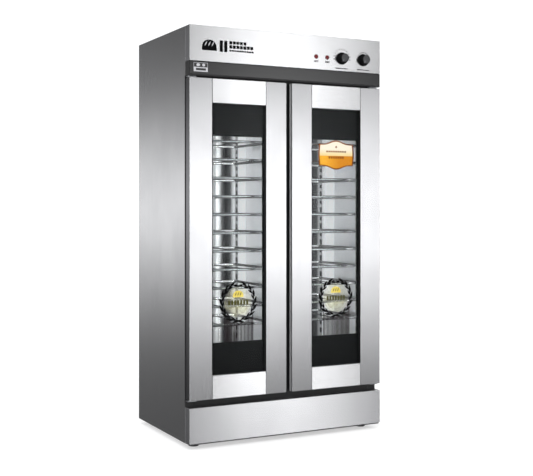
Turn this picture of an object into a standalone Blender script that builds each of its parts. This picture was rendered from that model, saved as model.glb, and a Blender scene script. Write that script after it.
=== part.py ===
# Two-door proofing cabinet for a bakery: steel casing on four feet, a humid warm chamber
# with wire shelves in two compartments, glazed doors on pivot pins, and a control fascia.
# Units are metres, +Z up, the front faces -Y, the feet stand on z = 0.

import math

import bmesh
import bpy
from mathutils import Vector

# Overall body
BODY_WIDTH = 1.000
BODY_DEPTH = 0.650
BODY_HEIGHT = 1.858
FOOT_HEIGHT = 0.022
KNOB_REACH = 0.031
GLAND_REACH = 0.012

# Casing panels
SIDE_PANEL_THICKNESS = 0.040
BACK_PANEL_THICKNESS = 0.020
TOP_PANEL_THICKNESS = 0.030
BASE_THICKNESS = 0.060
LINER_WALL = 0.0012
FRAME_DEPTH = 0.025
PARTITION_THICKNESS = 0.060
PARTITION_LIFT = 0.250
FRONT_SHEET = 0.0015

# What stands in front of the casing
DOOR_THICKNESS = 0.040
GASKET_GAP = 0.006
PLINTH_HEIGHT = 0.157
PLINTH_TO_DOOR = 0.033
BASE_LIP_HEIGHT = 0.006
BASE_LIP_SETBACK = 0.004
DOOR_TO_BAND = 0.009
BAND_HEIGHT = 0.064
FASCIA_HEIGHT = 0.1587
BAND_SETBACK = 0.002
DOOR_SPACING = 0.030

# Doors
HINGE_STILE_WIDTH = 0.110
HANDLE_STILE_WIDTH = 0.105
TOP_RAIL_HEIGHT = 0.109
BOTTOM_RAIL_HEIGHT = 0.105
GLASS_THICKNESS = 0.005
GLASS_SETBACK = 0.015
GLASS_GROOVE = 0.008
GRIP_GROOVE_WIDTH = 0.016
GRIP_GROOVE_DEPTH = 0.008
GRIP_GROOVE_SETBACK = 0.007
GASKET_WIDTH = 0.012
GASKET_EDGE_INSET = 0.016
GASKET_HINGE_INSET = 0.045
HINGE_INSET = 0.009
HINGE_FROM_REAR = 0.009
PIN_RADIUS = 0.004
PIN_LENGTH = 0.020
HINGE_PLATE_THICKNESS = 0.004
HINGE_PLATE_CLEARANCE = 0.0035
HINGE_PLATE_LAP = 0.0027
HINGE_PLATE_OUTWARD = 0.007
HINGE_PLATE_FORWARD = 0.008

# Chamber
FRAME_OPENING_MARGIN = 0.002
UPRIGHT_WIDTH = 0.030
UPRIGHT_REACH = 0.019
FRONT_UPRIGHT_DEPTH = 0.110
REAR_UPRIGHT_DEPTH = 0.4625
SHELF_FRONT_DEPTH = 0.080
SHELF_REAR_DEPTH = 0.470
SHELF_COUNT = 11
SHELF_PITCH = 0.084
LOWEST_SHELF = 0.513
SHELF_ROD_RADIUS = 0.0045
SHELF_WIRE_RADIUS = 0.0025
SHELF_WIRE_COUNT = 2
SHELF_CORNER = 0.012
SHELF_CLEARANCE = 0.0015
TRAY_WIDTH = 0.700
TRAY_DEPTH = 0.320
TRAY_HEIGHT = 0.080
TRAY_WALL = 0.0015
HEATER_RADIUS = 0.0055
HEATER_WIDTH = 0.560
HEATER_SPAN = 0.120
HEATER_LIFT = 0.014
HEATER_BEND_STEPS = 8

# Controls, measured from the cabinet's right edge and from the fascia's lower edge
TEMPERATURE_KNOB_INSET = 0.215
HUMIDITY_KNOB_INSET = 0.095
HEATING_LAMP_INSET = 0.356
HUMIDITY_LAMP_INSET = 0.296
CONTROL_HEIGHT = 0.060
KNOB_RADIUS = 0.029
KNOB_SKIRT = 0.009
KNOB_GRIP_RADIUS = 0.023
KNOB_GRIP_TAPER = 0.001
KNOB_FACE_CHAMFER = 0.003
KNOB_SKIRT_EDGE = 0.001
KNOB_SKIRT_FALL = 0.002
KNOB_CLEARANCE = 0.001
SHAFT_RADIUS = 0.003
SHAFT_DEPTH = 0.022
SHAFT_CLEARANCE = 0.001
LAMP_RADIUS = 0.009
LAMP_REACH = 0.004
LAMP_DOME = ((0.6, 0.8), (0.9, 0.4))
LAMP_BODY_RADIUS = 0.007
LAMP_BODY_LENGTH = 0.003
CONTROL_BOX_HEIGHT = 0.100
CONTROL_BOX_MARGIN = 0.050
CONTROL_BOX_SETBACK = 0.006

# Feet and gland
FOOT_RADIUS = 0.0235
FOOT_WAIST_RADIUS = 0.017
FOOT_PAD_HEIGHT = 0.012
FOOT_PAD_FALL = 0.002
FOOT_CHAMFER = 0.0015
FOOT_SIDE_INSET = 0.057
FOOT_END_INSET = 0.088
STUD_RADIUS = 0.005
STUD_LENGTH = 0.020
GLAND_RADIUS = 0.014
GLAND_X = 0.360
GLAND_Z = 0.140

# Fits
GAP = 0.0003
HOLE_CLEARANCE = 0.0006
EDGE_BEVEL = 0.0015
MERGE_DISTANCE = 0.00001
ROUND_SEGMENTS = 24
WIRE_SEGMENTS = 6
CUT_OVERRUN = 0.010

# Worked out from the sizes above
OVERALL_DEPTH = KNOB_REACH + BODY_DEPTH + GLAND_REACH
FRONT_Y = KNOB_REACH - OVERALL_DEPTH / 2
BACK_Y = FRONT_Y + BODY_DEPTH
FACE_Y = FRONT_Y + DOOR_THICKNESS + GASKET_GAP
FRAME_BACK_Y = FACE_Y + FRAME_DEPTH
HALF_WIDTH = BODY_WIDTH / 2
BOTTOM_Z = FOOT_HEIGHT
TOP_Z = FOOT_HEIGHT + BODY_HEIGHT
INNER_HALF_WIDTH = HALF_WIDTH - SIDE_PANEL_THICKNESS - GAP
PLINTH_LOW = BOTTOM_Z + BASE_LIP_HEIGHT
PLINTH_HIGH = PLINTH_LOW + PLINTH_HEIGHT
DOOR_LOW = PLINTH_HIGH + PLINTH_TO_DOOR
FASCIA_LOW = TOP_Z - FASCIA_HEIGHT
BAND_HIGH = FASCIA_LOW - GAP
BAND_LOW = BAND_HIGH - BAND_HEIGHT
DOOR_HIGH = BAND_LOW - DOOR_TO_BAND
FLOOR_Z = BOTTOM_Z + BASE_THICKNESS + GAP
CEILING_Z = DOOR_HIGH + GAP
HANDLE_EDGE = DOOR_SPACING / 2
WINDOW_INNER = HANDLE_EDGE + HANDLE_STILE_WIDTH
WINDOW_OUTER = HALF_WIDTH - HINGE_STILE_WIDTH
WINDOW_LOW = DOOR_LOW + BOTTOM_RAIL_HEIGHT
WINDOW_HIGH = DOOR_HIGH - TOP_RAIL_HEIGHT
HINGE_X = HALF_WIDTH - HINGE_INSET
HINGE_Y = FRONT_Y + DOOR_THICKNESS - HINGE_FROM_REAR
OPENING_INNER = HANDLE_EDGE + GASKET_EDGE_INSET + GASKET_WIDTH + FRAME_OPENING_MARGIN
OPENING_OUTER = HALF_WIDTH - GASKET_HINGE_INSET - GASKET_WIDTH - FRAME_OPENING_MARGIN
OPENING_LOW = DOOR_LOW + GASKET_EDGE_INSET + GASKET_WIDTH + FRAME_OPENING_MARGIN
OPENING_HIGH = DOOR_HIGH - GASKET_EDGE_INSET - GASKET_WIDTH - FRAME_OPENING_MARGIN
CHAMBER_OUTER = INNER_HALF_WIDTH - LINER_WALL
CHAMBER_BACK_Y = BACK_Y - BACK_PANEL_THICKNESS - GAP - LINER_WALL
SHELF_INNER = PARTITION_THICKNESS / 2 + UPRIGHT_REACH + SHELF_CLEARANCE
SHELF_OUTER = CHAMBER_OUTER - UPRIGHT_REACH - SHELF_CLEARANCE
CONTROL_Z = FASCIA_LOW + CONTROL_HEIGHT
TEMPERATURE_KNOB_X = HALF_WIDTH - TEMPERATURE_KNOB_INSET
HUMIDITY_KNOB_X = HALF_WIDTH - HUMIDITY_KNOB_INSET
HEATING_LAMP_X = HALF_WIDTH - HEATING_LAMP_INSET
HUMIDITY_LAMP_X = HALF_WIDTH - HUMIDITY_LAMP_INSET


for old in list(bpy.data.objects):
    bpy.data.objects.remove(old, do_unlink=True)

parts = bpy.data.collections.new("proofing_cabinet")
bpy.context.scene.collection.children.link(parts)
cutters = bpy.data.collections.new("cutters")
bpy.context.scene.collection.children.link(cutters)


def make_material(name, colour, roughness, metallic=0.0, alpha=1.0):
    """A Principled material with a plain colour."""
    material = bpy.data.materials.new(name)
    material.use_nodes = True
    shader = material.node_tree.nodes["Principled BSDF"]
    shader.inputs["Base Color"].default_value = (*colour, 1.0)
    shader.inputs["Roughness"].default_value = roughness
    shader.inputs["Metallic"].default_value = metallic
    shader.inputs["Alpha"].default_value = alpha
    return material


BRUSHED_STEEL = make_material("brushed_steel", (0.66, 0.66, 0.67), 0.30, 1.0)
POLISHED_STEEL = make_material("polished_steel", (0.74, 0.74, 0.75), 0.16, 1.0)
CHROMED_WIRE = make_material("chromed_wire", (0.80, 0.80, 0.80), 0.12, 1.0)
BLACK_PAINT = make_material("black_paint", (0.02, 0.02, 0.02), 0.45)
GREY_TRIM = make_material("grey_trim", (0.05, 0.05, 0.05), 0.40)
BLACK_PLASTIC = make_material("black_plastic", (0.02, 0.02, 0.02), 0.35)
RED_LENS = make_material("red_lens", (0.60, 0.02, 0.02), 0.15)
RUBBER = make_material("rubber", (0.02, 0.02, 0.02), 0.80)
GLASS = make_material("glass", (0.80, 0.85, 0.85), 0.03, 0.0, 0.35)


def link(name, mesh, material, collection):
    """An object for a mesh, in a collection, with a material if it has one."""
    obj = bpy.data.objects.new(name, mesh)
    collection.objects.link(obj)
    if material is not None:
        mesh.materials.append(material)
    if collection is cutters:
        obj.hide_render = True
        obj.display_type = "WIRE"
    return obj


def add_box(name, low, high, material=None, collection=parts):
    """A box between two corners, with its origin at its centre."""
    low = Vector(low)
    high = Vector(high)
    shape = bmesh.new()
    bmesh.ops.create_cube(shape, size=1.0)
    bmesh.ops.scale(shape, vec=high - low, verts=shape.verts)
    mesh = bpy.data.meshes.new(name)
    shape.to_mesh(mesh)
    shape.free()
    obj = link(name, mesh, material, collection)
    obj.location = (low + high) / 2
    return obj


def add_cylinder(name, radius, low, high, centre, axis="Z", segments=ROUND_SEGMENTS):
    """A cutter or a welded pin along a row axis, from low to high, at centre's two coordinates."""
    shape = bmesh.new()
    bmesh.ops.create_cone(shape, cap_ends=True, segments=segments,
                          radius1=radius, radius2=radius, depth=high - low)
    mesh = bpy.data.meshes.new(name)
    shape.to_mesh(mesh)
    shape.free()
    obj = link(name, mesh, None, cutters)
    middle = (low + high) / 2
    if axis == "Z":
        obj.location = (centre[0], centre[1], middle)
    else:
        obj.rotation_euler = (math.pi / 2, 0, 0)
        obj.location = (centre[0], middle, centre[1])
    return obj


def combine(obj, other, operation):
    """A Boolean of two objects that stays on the first as a modifier."""
    modifier = obj.modifiers.new(other.name, "BOOLEAN")
    modifier.operation = operation
    modifier.solver = "EXACT"
    modifier.object = other


def cut(obj, cutter):
    combine(obj, cutter, "DIFFERENCE")


def weld(obj, other):
    combine(obj, other, "UNION")


def soften(obj, width=EDGE_BEVEL, segments=1):
    """A small bevel on every sharp edge, under any Boolean that follows."""
    modifier = obj.modifiers.new("edges", "BEVEL")
    modifier.width = width
    modifier.segments = segments
    modifier.limit_method = "ANGLE"


def mesh_from(obj, name, material, collection=parts):
    """The evaluated shape of an object as a new mesh object, in the same place; the old one goes."""
    bpy.context.view_layer.update()
    evaluated = obj.evaluated_get(bpy.context.evaluated_depsgraph_get())
    mesh = bpy.data.meshes.new_from_object(evaluated)
    mesh.name = name
    shape = bmesh.new()
    shape.from_mesh(mesh)
    bmesh.ops.remove_doubles(shape, verts=shape.verts, dist=MERGE_DISTANCE)
    shape.to_mesh(mesh)
    shape.free()
    mesh.materials.clear()
    matrix = obj.matrix_world.copy()
    bpy.data.objects.remove(obj, do_unlink=True)
    made = link(name, mesh, material, collection)
    made.matrix_world = matrix
    return made


def add_rod(name, points, radius, material, closed=False, resolution=2, collection=parts):
    """A round rod along straight runs between points."""
    curve = bpy.data.curves.new(name, "CURVE")
    curve.dimensions = "3D"
    spline = curve.splines.new("POLY")
    spline.points.add(len(points) - 1)
    for point, place in zip(spline.points, points):
        point.co = (*place, 1.0)
    spline.use_cyclic_u = closed
    curve.bevel_depth = radius
    curve.bevel_resolution = resolution
    curve.use_fill_caps = not closed
    rod = bpy.data.objects.new(name + "_path", curve)
    parts.objects.link(rod)
    return mesh_from(rod, name, material, collection)


def add_turned(name, profile, material, axis="Z"):
    """A solid turned from (radius, height) points that run from its top to its bottom."""
    mesh = bpy.data.meshes.new(name)
    points = [(radius, 0.0, height) for radius, height in profile]
    edges = [(index, index + 1) for index in range(len(points) - 1)]
    mesh.from_pydata(points, edges, [])
    obj = link(name, mesh, material, parts)
    screw = obj.modifiers.new("turn", "SCREW")
    screw.steps = ROUND_SEGMENTS
    screw.render_steps = ROUND_SEGMENTS
    screw.use_merge_vertices = True
    screw.merge_threshold = MERGE_DISTANCE
    screw.use_smooth_shade = False
    if axis == "Y":
        obj.rotation_euler = (math.pi / 2, 0, 0)
    return obj


def add_pivot(name, place):
    """An empty on a joint's axis."""
    pivot = bpy.data.objects.new(name, None)
    parts.objects.link(pivot)
    pivot.location = place
    return pivot


def hang(obj, pivot):
    """Parents an object to a pivot without moving it."""
    obj.parent = pivot
    obj.location = Vector(obj.location) - Vector(pivot.location)


def side_box(name, side, inner, outer, low, high, material=None, collection=parts):
    """A box on one side of the cabinet: side is -1 or 1, inner and outer are distances from x = 0."""
    near = side * inner
    far = side * outer
    return add_box(name, (min(near, far), low[0], low[1]), (max(near, far), high[0], high[1]),
                   material, collection)


def make_casing():
    """Side panels, top, back with its cable gland, and base with its front lip and stud holes."""
    for side, word in ((-1, "left"), (1, "right")):
        panel = side_box(f"{word}_side_panel", side, HALF_WIDTH - SIDE_PANEL_THICKNESS, HALF_WIDTH,
                         (FACE_Y, BOTTOM_Z), (BACK_Y, TOP_Z), BRUSHED_STEEL)
        soften(panel)
    top = add_box("top_panel", (-INNER_HALF_WIDTH, FACE_Y, TOP_Z - TOP_PANEL_THICKNESS),
                  (INNER_HALF_WIDTH, BACK_Y, TOP_Z), BRUSHED_STEEL)
    soften(top)

    back = add_box("back_panel", (-INNER_HALF_WIDTH, BACK_Y - BACK_PANEL_THICKNESS, BOTTOM_Z),
                   (INNER_HALF_WIDTH, BACK_Y, TOP_Z - TOP_PANEL_THICKNESS - GAP), BRUSHED_STEEL)
    soften(back)
    gland = add_cylinder("gland_boss", GLAND_RADIUS, BACK_Y - BACK_PANEL_THICKNESS / 2,
                         BACK_Y + GLAND_REACH, (GLAND_X, GLAND_Z), "Y")
    weld(back, gland)

    base_back = BACK_Y - BACK_PANEL_THICKNESS - GAP
    base = add_box("base_pan", (-INNER_HALF_WIDTH, FRAME_BACK_Y + GAP, BOTTOM_Z),
                   (INNER_HALF_WIDTH, base_back, BOTTOM_Z + BASE_THICKNESS), BRUSHED_STEEL)
    lip_high = PLINTH_LOW - GAP
    tongue = add_box("base_tongue", (-INNER_HALF_WIDTH, FACE_Y - CUT_OVERRUN, BOTTOM_Z),
                     (INNER_HALF_WIDTH, FRAME_BACK_Y + CUT_OVERRUN, lip_high), None, cutters)
    lip = add_box("base_lip", (-HALF_WIDTH + BASE_LIP_SETBACK, FRONT_Y + BASE_LIP_SETBACK, BOTTOM_Z),
                  (HALF_WIDTH - BASE_LIP_SETBACK, FACE_Y - GAP, lip_high), None, cutters)
    weld(base, tongue)
    weld(base, lip)
    for number, (x, y) in enumerate(foot_places(), 1):
        hole = add_cylinder(f"stud_hole_{number}", STUD_RADIUS + HOLE_CLEARANCE,
                            BOTTOM_Z - CUT_OVERRUN, BOTTOM_Z + STUD_LENGTH + HOLE_CLEARANCE, (x, y))
        cut(base, hole)


def foot_places():
    """The four foot centres, front pair first."""
    across = HALF_WIDTH - FOOT_SIDE_INSET
    return [(side * across, y) for y in (FRONT_Y + FOOT_END_INSET, BACK_Y - FOOT_END_INSET)
            for side in (-1, 1)]


def make_feet():
    """Four round feet, each turned in one piece with the stud that screws into the base."""
    top = FOOT_HEIGHT - GAP
    profile = [(0.0, top + STUD_LENGTH), (STUD_RADIUS, top + STUD_LENGTH), (STUD_RADIUS, top),
               (FOOT_WAIST_RADIUS, top), (FOOT_WAIST_RADIUS, FOOT_PAD_HEIGHT),
               (FOOT_RADIUS, FOOT_PAD_HEIGHT - FOOT_PAD_FALL), (FOOT_RADIUS, FOOT_CHAMFER),
               (FOOT_RADIUS - FOOT_CHAMFER, 0.0), (0.0, 0.0)]
    names = ("front_left_foot", "front_right_foot", "rear_left_foot", "rear_right_foot")
    for name, (x, y) in zip(names, foot_places()):
        foot = add_turned(name, profile, BLACK_PLASTIC)
        foot.location = (x, y, 0.0)


def make_front_frame():
    """The face frame that the doors close on, with an opening for each compartment."""
    frame = add_box("front_frame", (-INNER_HALF_WIDTH, FACE_Y, PLINTH_LOW),
                    (INNER_HALF_WIDTH, FRAME_BACK_Y, TOP_Z - TOP_PANEL_THICKNESS - GAP), BLACK_PAINT)
    for side, word in ((-1, "left"), (1, "right")):
        opening = side_box(f"{word}_opening", side, OPENING_INNER, OPENING_OUTER,
                           (FACE_Y - CUT_OVERRUN, OPENING_LOW),
                           (FRAME_BACK_Y + CUT_OVERRUN, OPENING_HIGH), None, cutters)
        cut(frame, opening)


def upright_depths():
    """Distances behind the front face of the middle of each upright."""
    return (FRONT_UPRIGHT_DEPTH, REAR_UPRIGHT_DEPTH)


def upright(name, side, inner, outer, depth, low, high):
    """A shelf upright's channel, as a plain bar that is welded to its wall."""
    middle = FRONT_Y + depth
    return side_box(name, side, inner, outer, (middle - UPRIGHT_WIDTH / 2, low),
                    (middle + UPRIGHT_WIDTH / 2, high), None, cutters)


def make_chamber():
    """The inner liner, open at the front, and the partition, both with welded shelf uprights."""
    liner = add_box("inner_liner", (-INNER_HALF_WIDTH, FRAME_BACK_Y + GAP, FLOOR_Z),
                    (INNER_HALF_WIDTH, CHAMBER_BACK_Y + LINER_WALL, CEILING_Z), POLISHED_STEEL)
    hollow = add_box("chamber_space",
                     (-CHAMBER_OUTER, FRAME_BACK_Y - CUT_OVERRUN, FLOOR_Z + LINER_WALL),
                     (CHAMBER_OUTER, CHAMBER_BACK_Y, CEILING_Z - LINER_WALL), None, cutters)
    cut(liner, hollow)
    partition_half = PARTITION_THICKNESS / 2
    low = FLOOR_Z + PARTITION_LIFT
    high = CEILING_Z - LINER_WALL - GAP
    partition = add_box("centre_partition", (-partition_half, FRAME_BACK_Y + GAP, low),
                        (partition_half, CHAMBER_BACK_Y - GAP, high), POLISHED_STEEL)
    upright_low = low
    upright_high = high - UPRIGHT_WIDTH
    for side, word in ((-1, "left"), (1, "right")):
        for place, depth in zip(("front", "rear"), upright_depths()):
            wall_bar = upright(f"{word}_{place}_wall_upright", side, CHAMBER_OUTER - UPRIGHT_REACH,
                               CHAMBER_OUTER + LINER_WALL / 2, depth, upright_low, upright_high)
            weld(liner, wall_bar)
            middle_bar = upright(f"{word}_{place}_middle_upright", side, partition_half / 2,
                                 partition_half + UPRIGHT_REACH, depth, upright_low, upright_high)
            weld(partition, middle_bar)


def shelf_outline():
    """The rod's middle line round one shelf, with a cut corner at each turn, about the shelf's centre."""
    half_width = (SHELF_OUTER - SHELF_INNER) / 2 - SHELF_ROD_RADIUS
    half_depth = (SHELF_REAR_DEPTH - SHELF_FRONT_DEPTH) / 2
    points = []
    for x_sign, y_sign, x_first in ((1, -1, True), (1, 1, False), (-1, 1, True), (-1, -1, False)):
        along = (x_sign * (half_width - SHELF_CORNER), y_sign * half_depth, 0.0)
        across = (x_sign * half_width, y_sign * (half_depth - SHELF_CORNER), 0.0)
        points += [along, across] if x_first else [across, along]
    return points


def make_shelves():
    """Wire shelves: a closed rod frame with lighter wires from front to back, one per level and side."""
    frame = add_rod("shelf_pattern", shelf_outline(), SHELF_ROD_RADIUS, CHROMED_WIRE, closed=True,
                    collection=cutters)
    half_depth = (SHELF_REAR_DEPTH - SHELF_FRONT_DEPTH) / 2
    width = SHELF_OUTER - SHELF_INNER
    for number in range(1, SHELF_WIRE_COUNT + 1):
        x = -width / 2 + number * width / (SHELF_WIRE_COUNT + 1)
        wire = add_cylinder(f"shelf_wire_{number}", SHELF_WIRE_RADIUS, -half_depth, half_depth,
                            (x, 0.0), "Y", WIRE_SEGMENTS)
        weld(frame, wire)
    pattern = mesh_from(frame, "shelf", CHROMED_WIRE, cutters)
    middle_x = (SHELF_INNER + SHELF_OUTER) / 2
    middle_y = FRONT_Y + (SHELF_FRONT_DEPTH + SHELF_REAR_DEPTH) / 2
    for side, word in ((-1, "left"), (1, "right")):
        for level in range(SHELF_COUNT):
            shelf = bpy.data.objects.new(f"{word}_shelf_{level + 1:02d}", pattern.data)
            parts.objects.link(shelf)
            shelf.location = (side * middle_x, middle_y, BOTTOM_Z + LOWEST_SHELF + level * SHELF_PITCH)


def make_humidifier():
    """The open water tray on the chamber's floor and the hairpin heater that lies in it."""
    low = FLOOR_Z + LINER_WALL + GAP
    middle_y = (FRAME_BACK_Y + CHAMBER_BACK_Y) / 2
    tray = add_box("water_tray", (-TRAY_WIDTH / 2, middle_y - TRAY_DEPTH / 2, low),
                   (TRAY_WIDTH / 2, middle_y + TRAY_DEPTH / 2, low + TRAY_HEIGHT), POLISHED_STEEL)
    water = add_box("tray_space",
                    (-TRAY_WIDTH / 2 + TRAY_WALL, middle_y - TRAY_DEPTH / 2 + TRAY_WALL, low + TRAY_WALL),
                    (TRAY_WIDTH / 2 - TRAY_WALL, middle_y + TRAY_DEPTH / 2 - TRAY_WALL,
                     low + TRAY_HEIGHT + CUT_OVERRUN), None, cutters)
    cut(tray, water)
    z = low + TRAY_WALL + HEATER_LIFT
    bend = HEATER_SPAN / 2
    bend_x = HEATER_WIDTH / 2 - bend
    points = [(-HEATER_WIDTH / 2, middle_y - bend, z)]
    for step in range(HEATER_BEND_STEPS + 1):
        angle = math.pi * (step / HEATER_BEND_STEPS - 0.5)
        points.append((bend_x + bend * math.cos(angle), middle_y + bend * math.sin(angle), z))
    points.append((-HEATER_WIDTH / 2, middle_y + bend, z))
    add_rod("heater_element", points, HEATER_RADIUS, POLISHED_STEEL)


def open_backed_cover(name, low, high, material):
    """A folded sheet cover: a box open towards the casing, with walls of the front sheet's thickness."""
    cover = add_box(name, low, high, material)
    shape = bmesh.new()
    shape.from_mesh(cover.data)
    rear = [face for face in shape.faces if face.normal.y > 0.5]
    bmesh.ops.delete(shape, geom=rear, context="FACES_ONLY")
    shape.to_mesh(cover.data)
    shape.free()
    wall = cover.modifiers.new("sheet", "SOLIDIFY")
    wall.thickness = FRONT_SHEET
    wall.offset = -1.0
    wall.use_even_offset = True
    return cover


def make_front_covers():
    """The control fascia with its holes, the dark trim band under it, and the plinth cover."""
    cover_back = FACE_Y - GAP
    fascia = open_backed_cover("control_fascia", (-HALF_WIDTH, FRONT_Y, FASCIA_LOW),
                               (HALF_WIDTH, cover_back, TOP_Z), BRUSHED_STEEL)
    holes = ((TEMPERATURE_KNOB_X, SHAFT_RADIUS + SHAFT_CLEARANCE),
             (HUMIDITY_KNOB_X, SHAFT_RADIUS + SHAFT_CLEARANCE),
             (HEATING_LAMP_X, LAMP_BODY_RADIUS + HOLE_CLEARANCE),
             (HUMIDITY_LAMP_X, LAMP_BODY_RADIUS + HOLE_CLEARANCE))
    for number, (x, radius) in enumerate(holes, 1):
        hole = add_cylinder(f"fascia_hole_{number}", radius, FRONT_Y - CUT_OVERRUN,
                            FRONT_Y + FRONT_SHEET + GAP, (x, CONTROL_Z), "Y")
        cut(fascia, hole)
    band = add_box("trim_band", (-HALF_WIDTH, FRONT_Y + BAND_SETBACK, BAND_LOW),
                   (HALF_WIDTH, cover_back, BAND_HIGH), GREY_TRIM)
    soften(band, 2 * EDGE_BEVEL, 2)
    open_backed_cover("plinth_panel", (-HALF_WIDTH, FRONT_Y, PLINTH_LOW),
                      (HALF_WIDTH, cover_back, PLINTH_HIGH), BRUSHED_STEEL)


def make_controls():
    """The control box behind the fascia, two knobs on shafts that enter it, and two lamps."""
    front = FRONT_Y + CONTROL_BOX_SETBACK
    box_low = CONTROL_Z - CONTROL_BOX_HEIGHT / 2
    box = add_box("control_box", (HEATING_LAMP_X - CONTROL_BOX_MARGIN, front, box_low),
                  (HUMIDITY_KNOB_X + CONTROL_BOX_MARGIN, FACE_Y - GAP, box_low + CONTROL_BOX_HEIGHT),
                  BLACK_PLASTIC)
    shaft_end = FRONT_Y + SHAFT_DEPTH
    for name, x in (("temperature_knob", TEMPERATURE_KNOB_X), ("humidity_knob", HUMIDITY_KNOB_X)):
        place = (x, CONTROL_Z)
        socket = add_cylinder(f"{name}_socket", SHAFT_RADIUS + SHAFT_CLEARANCE, front - CUT_OVERRUN,
                              shaft_end + SHAFT_CLEARANCE, place, "Y")
        cut(box, socket)
        # Height runs outwards from the fascia: the shaft is below zero and the grip's face is on top.
        profile = [(0.0, KNOB_REACH), (KNOB_GRIP_RADIUS - KNOB_FACE_CHAMFER, KNOB_REACH),
                   (KNOB_GRIP_RADIUS, KNOB_REACH - KNOB_FACE_CHAMFER),
                   (KNOB_GRIP_RADIUS + KNOB_GRIP_TAPER, KNOB_SKIRT),
                   (KNOB_RADIUS - KNOB_SKIRT_EDGE, KNOB_SKIRT - KNOB_SKIRT_FALL),
                   (KNOB_RADIUS, KNOB_SKIRT - 2 * KNOB_SKIRT_FALL), (KNOB_RADIUS, KNOB_CLEARANCE),
                   (SHAFT_RADIUS, KNOB_CLEARANCE), (SHAFT_RADIUS, -SHAFT_DEPTH), (0.0, -SHAFT_DEPTH)]
        knob = add_turned(name, profile, BLACK_PLASTIC, "Y")
        knob.location = (place[0], FRONT_Y, place[1])
    for name, x in (("heating_lamp", HEATING_LAMP_X), ("humidity_lamp", HUMIDITY_LAMP_X)):
        dome = [(LAMP_RADIUS * share, LAMP_REACH * height) for share, height in LAMP_DOME]
        profile = [(0.0, LAMP_REACH), *dome, (LAMP_RADIUS, GAP), (LAMP_BODY_RADIUS, GAP),
                   (LAMP_BODY_RADIUS, -LAMP_BODY_LENGTH), (0.0, -LAMP_BODY_LENGTH)]
        lamp = add_turned(name, profile, RED_LENS, "Y")
        lamp.location = (x, FRONT_Y, CONTROL_Z)


def make_hinge(word, side):
    """An upper and a lower hinge: a plate on the face frame with a pin that enters the door."""
    heights = (("upper", DOOR_HIGH + HINGE_PLATE_CLEARANCE, -1),
               ("lower", DOOR_LOW - HINGE_PLATE_CLEARANCE - HINGE_PLATE_THICKNESS, 1))
    for place, low, direction in heights:
        high = low + HINGE_PLATE_THICKNESS
        plate = side_box(f"{word}_{place}_hinge", side, INNER_HALF_WIDTH - HINGE_PLATE_LAP,
                         HINGE_X + HINGE_PLATE_OUTWARD, (HINGE_Y - HINGE_PLATE_FORWARD, low), (FACE_Y - GAP, high), POLISHED_STEEL)
        if direction < 0:
            pin_ends = (DOOR_HIGH - PIN_LENGTH, high - GAP)
        else:
            pin_ends = (low + GAP, DOOR_LOW + PIN_LENGTH)
        pin = add_cylinder(f"{word}_{place}_pin", PIN_RADIUS, pin_ends[0], pin_ends[1],
                           (side * HINGE_X, HINGE_Y))
        weld(plate, pin)


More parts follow.
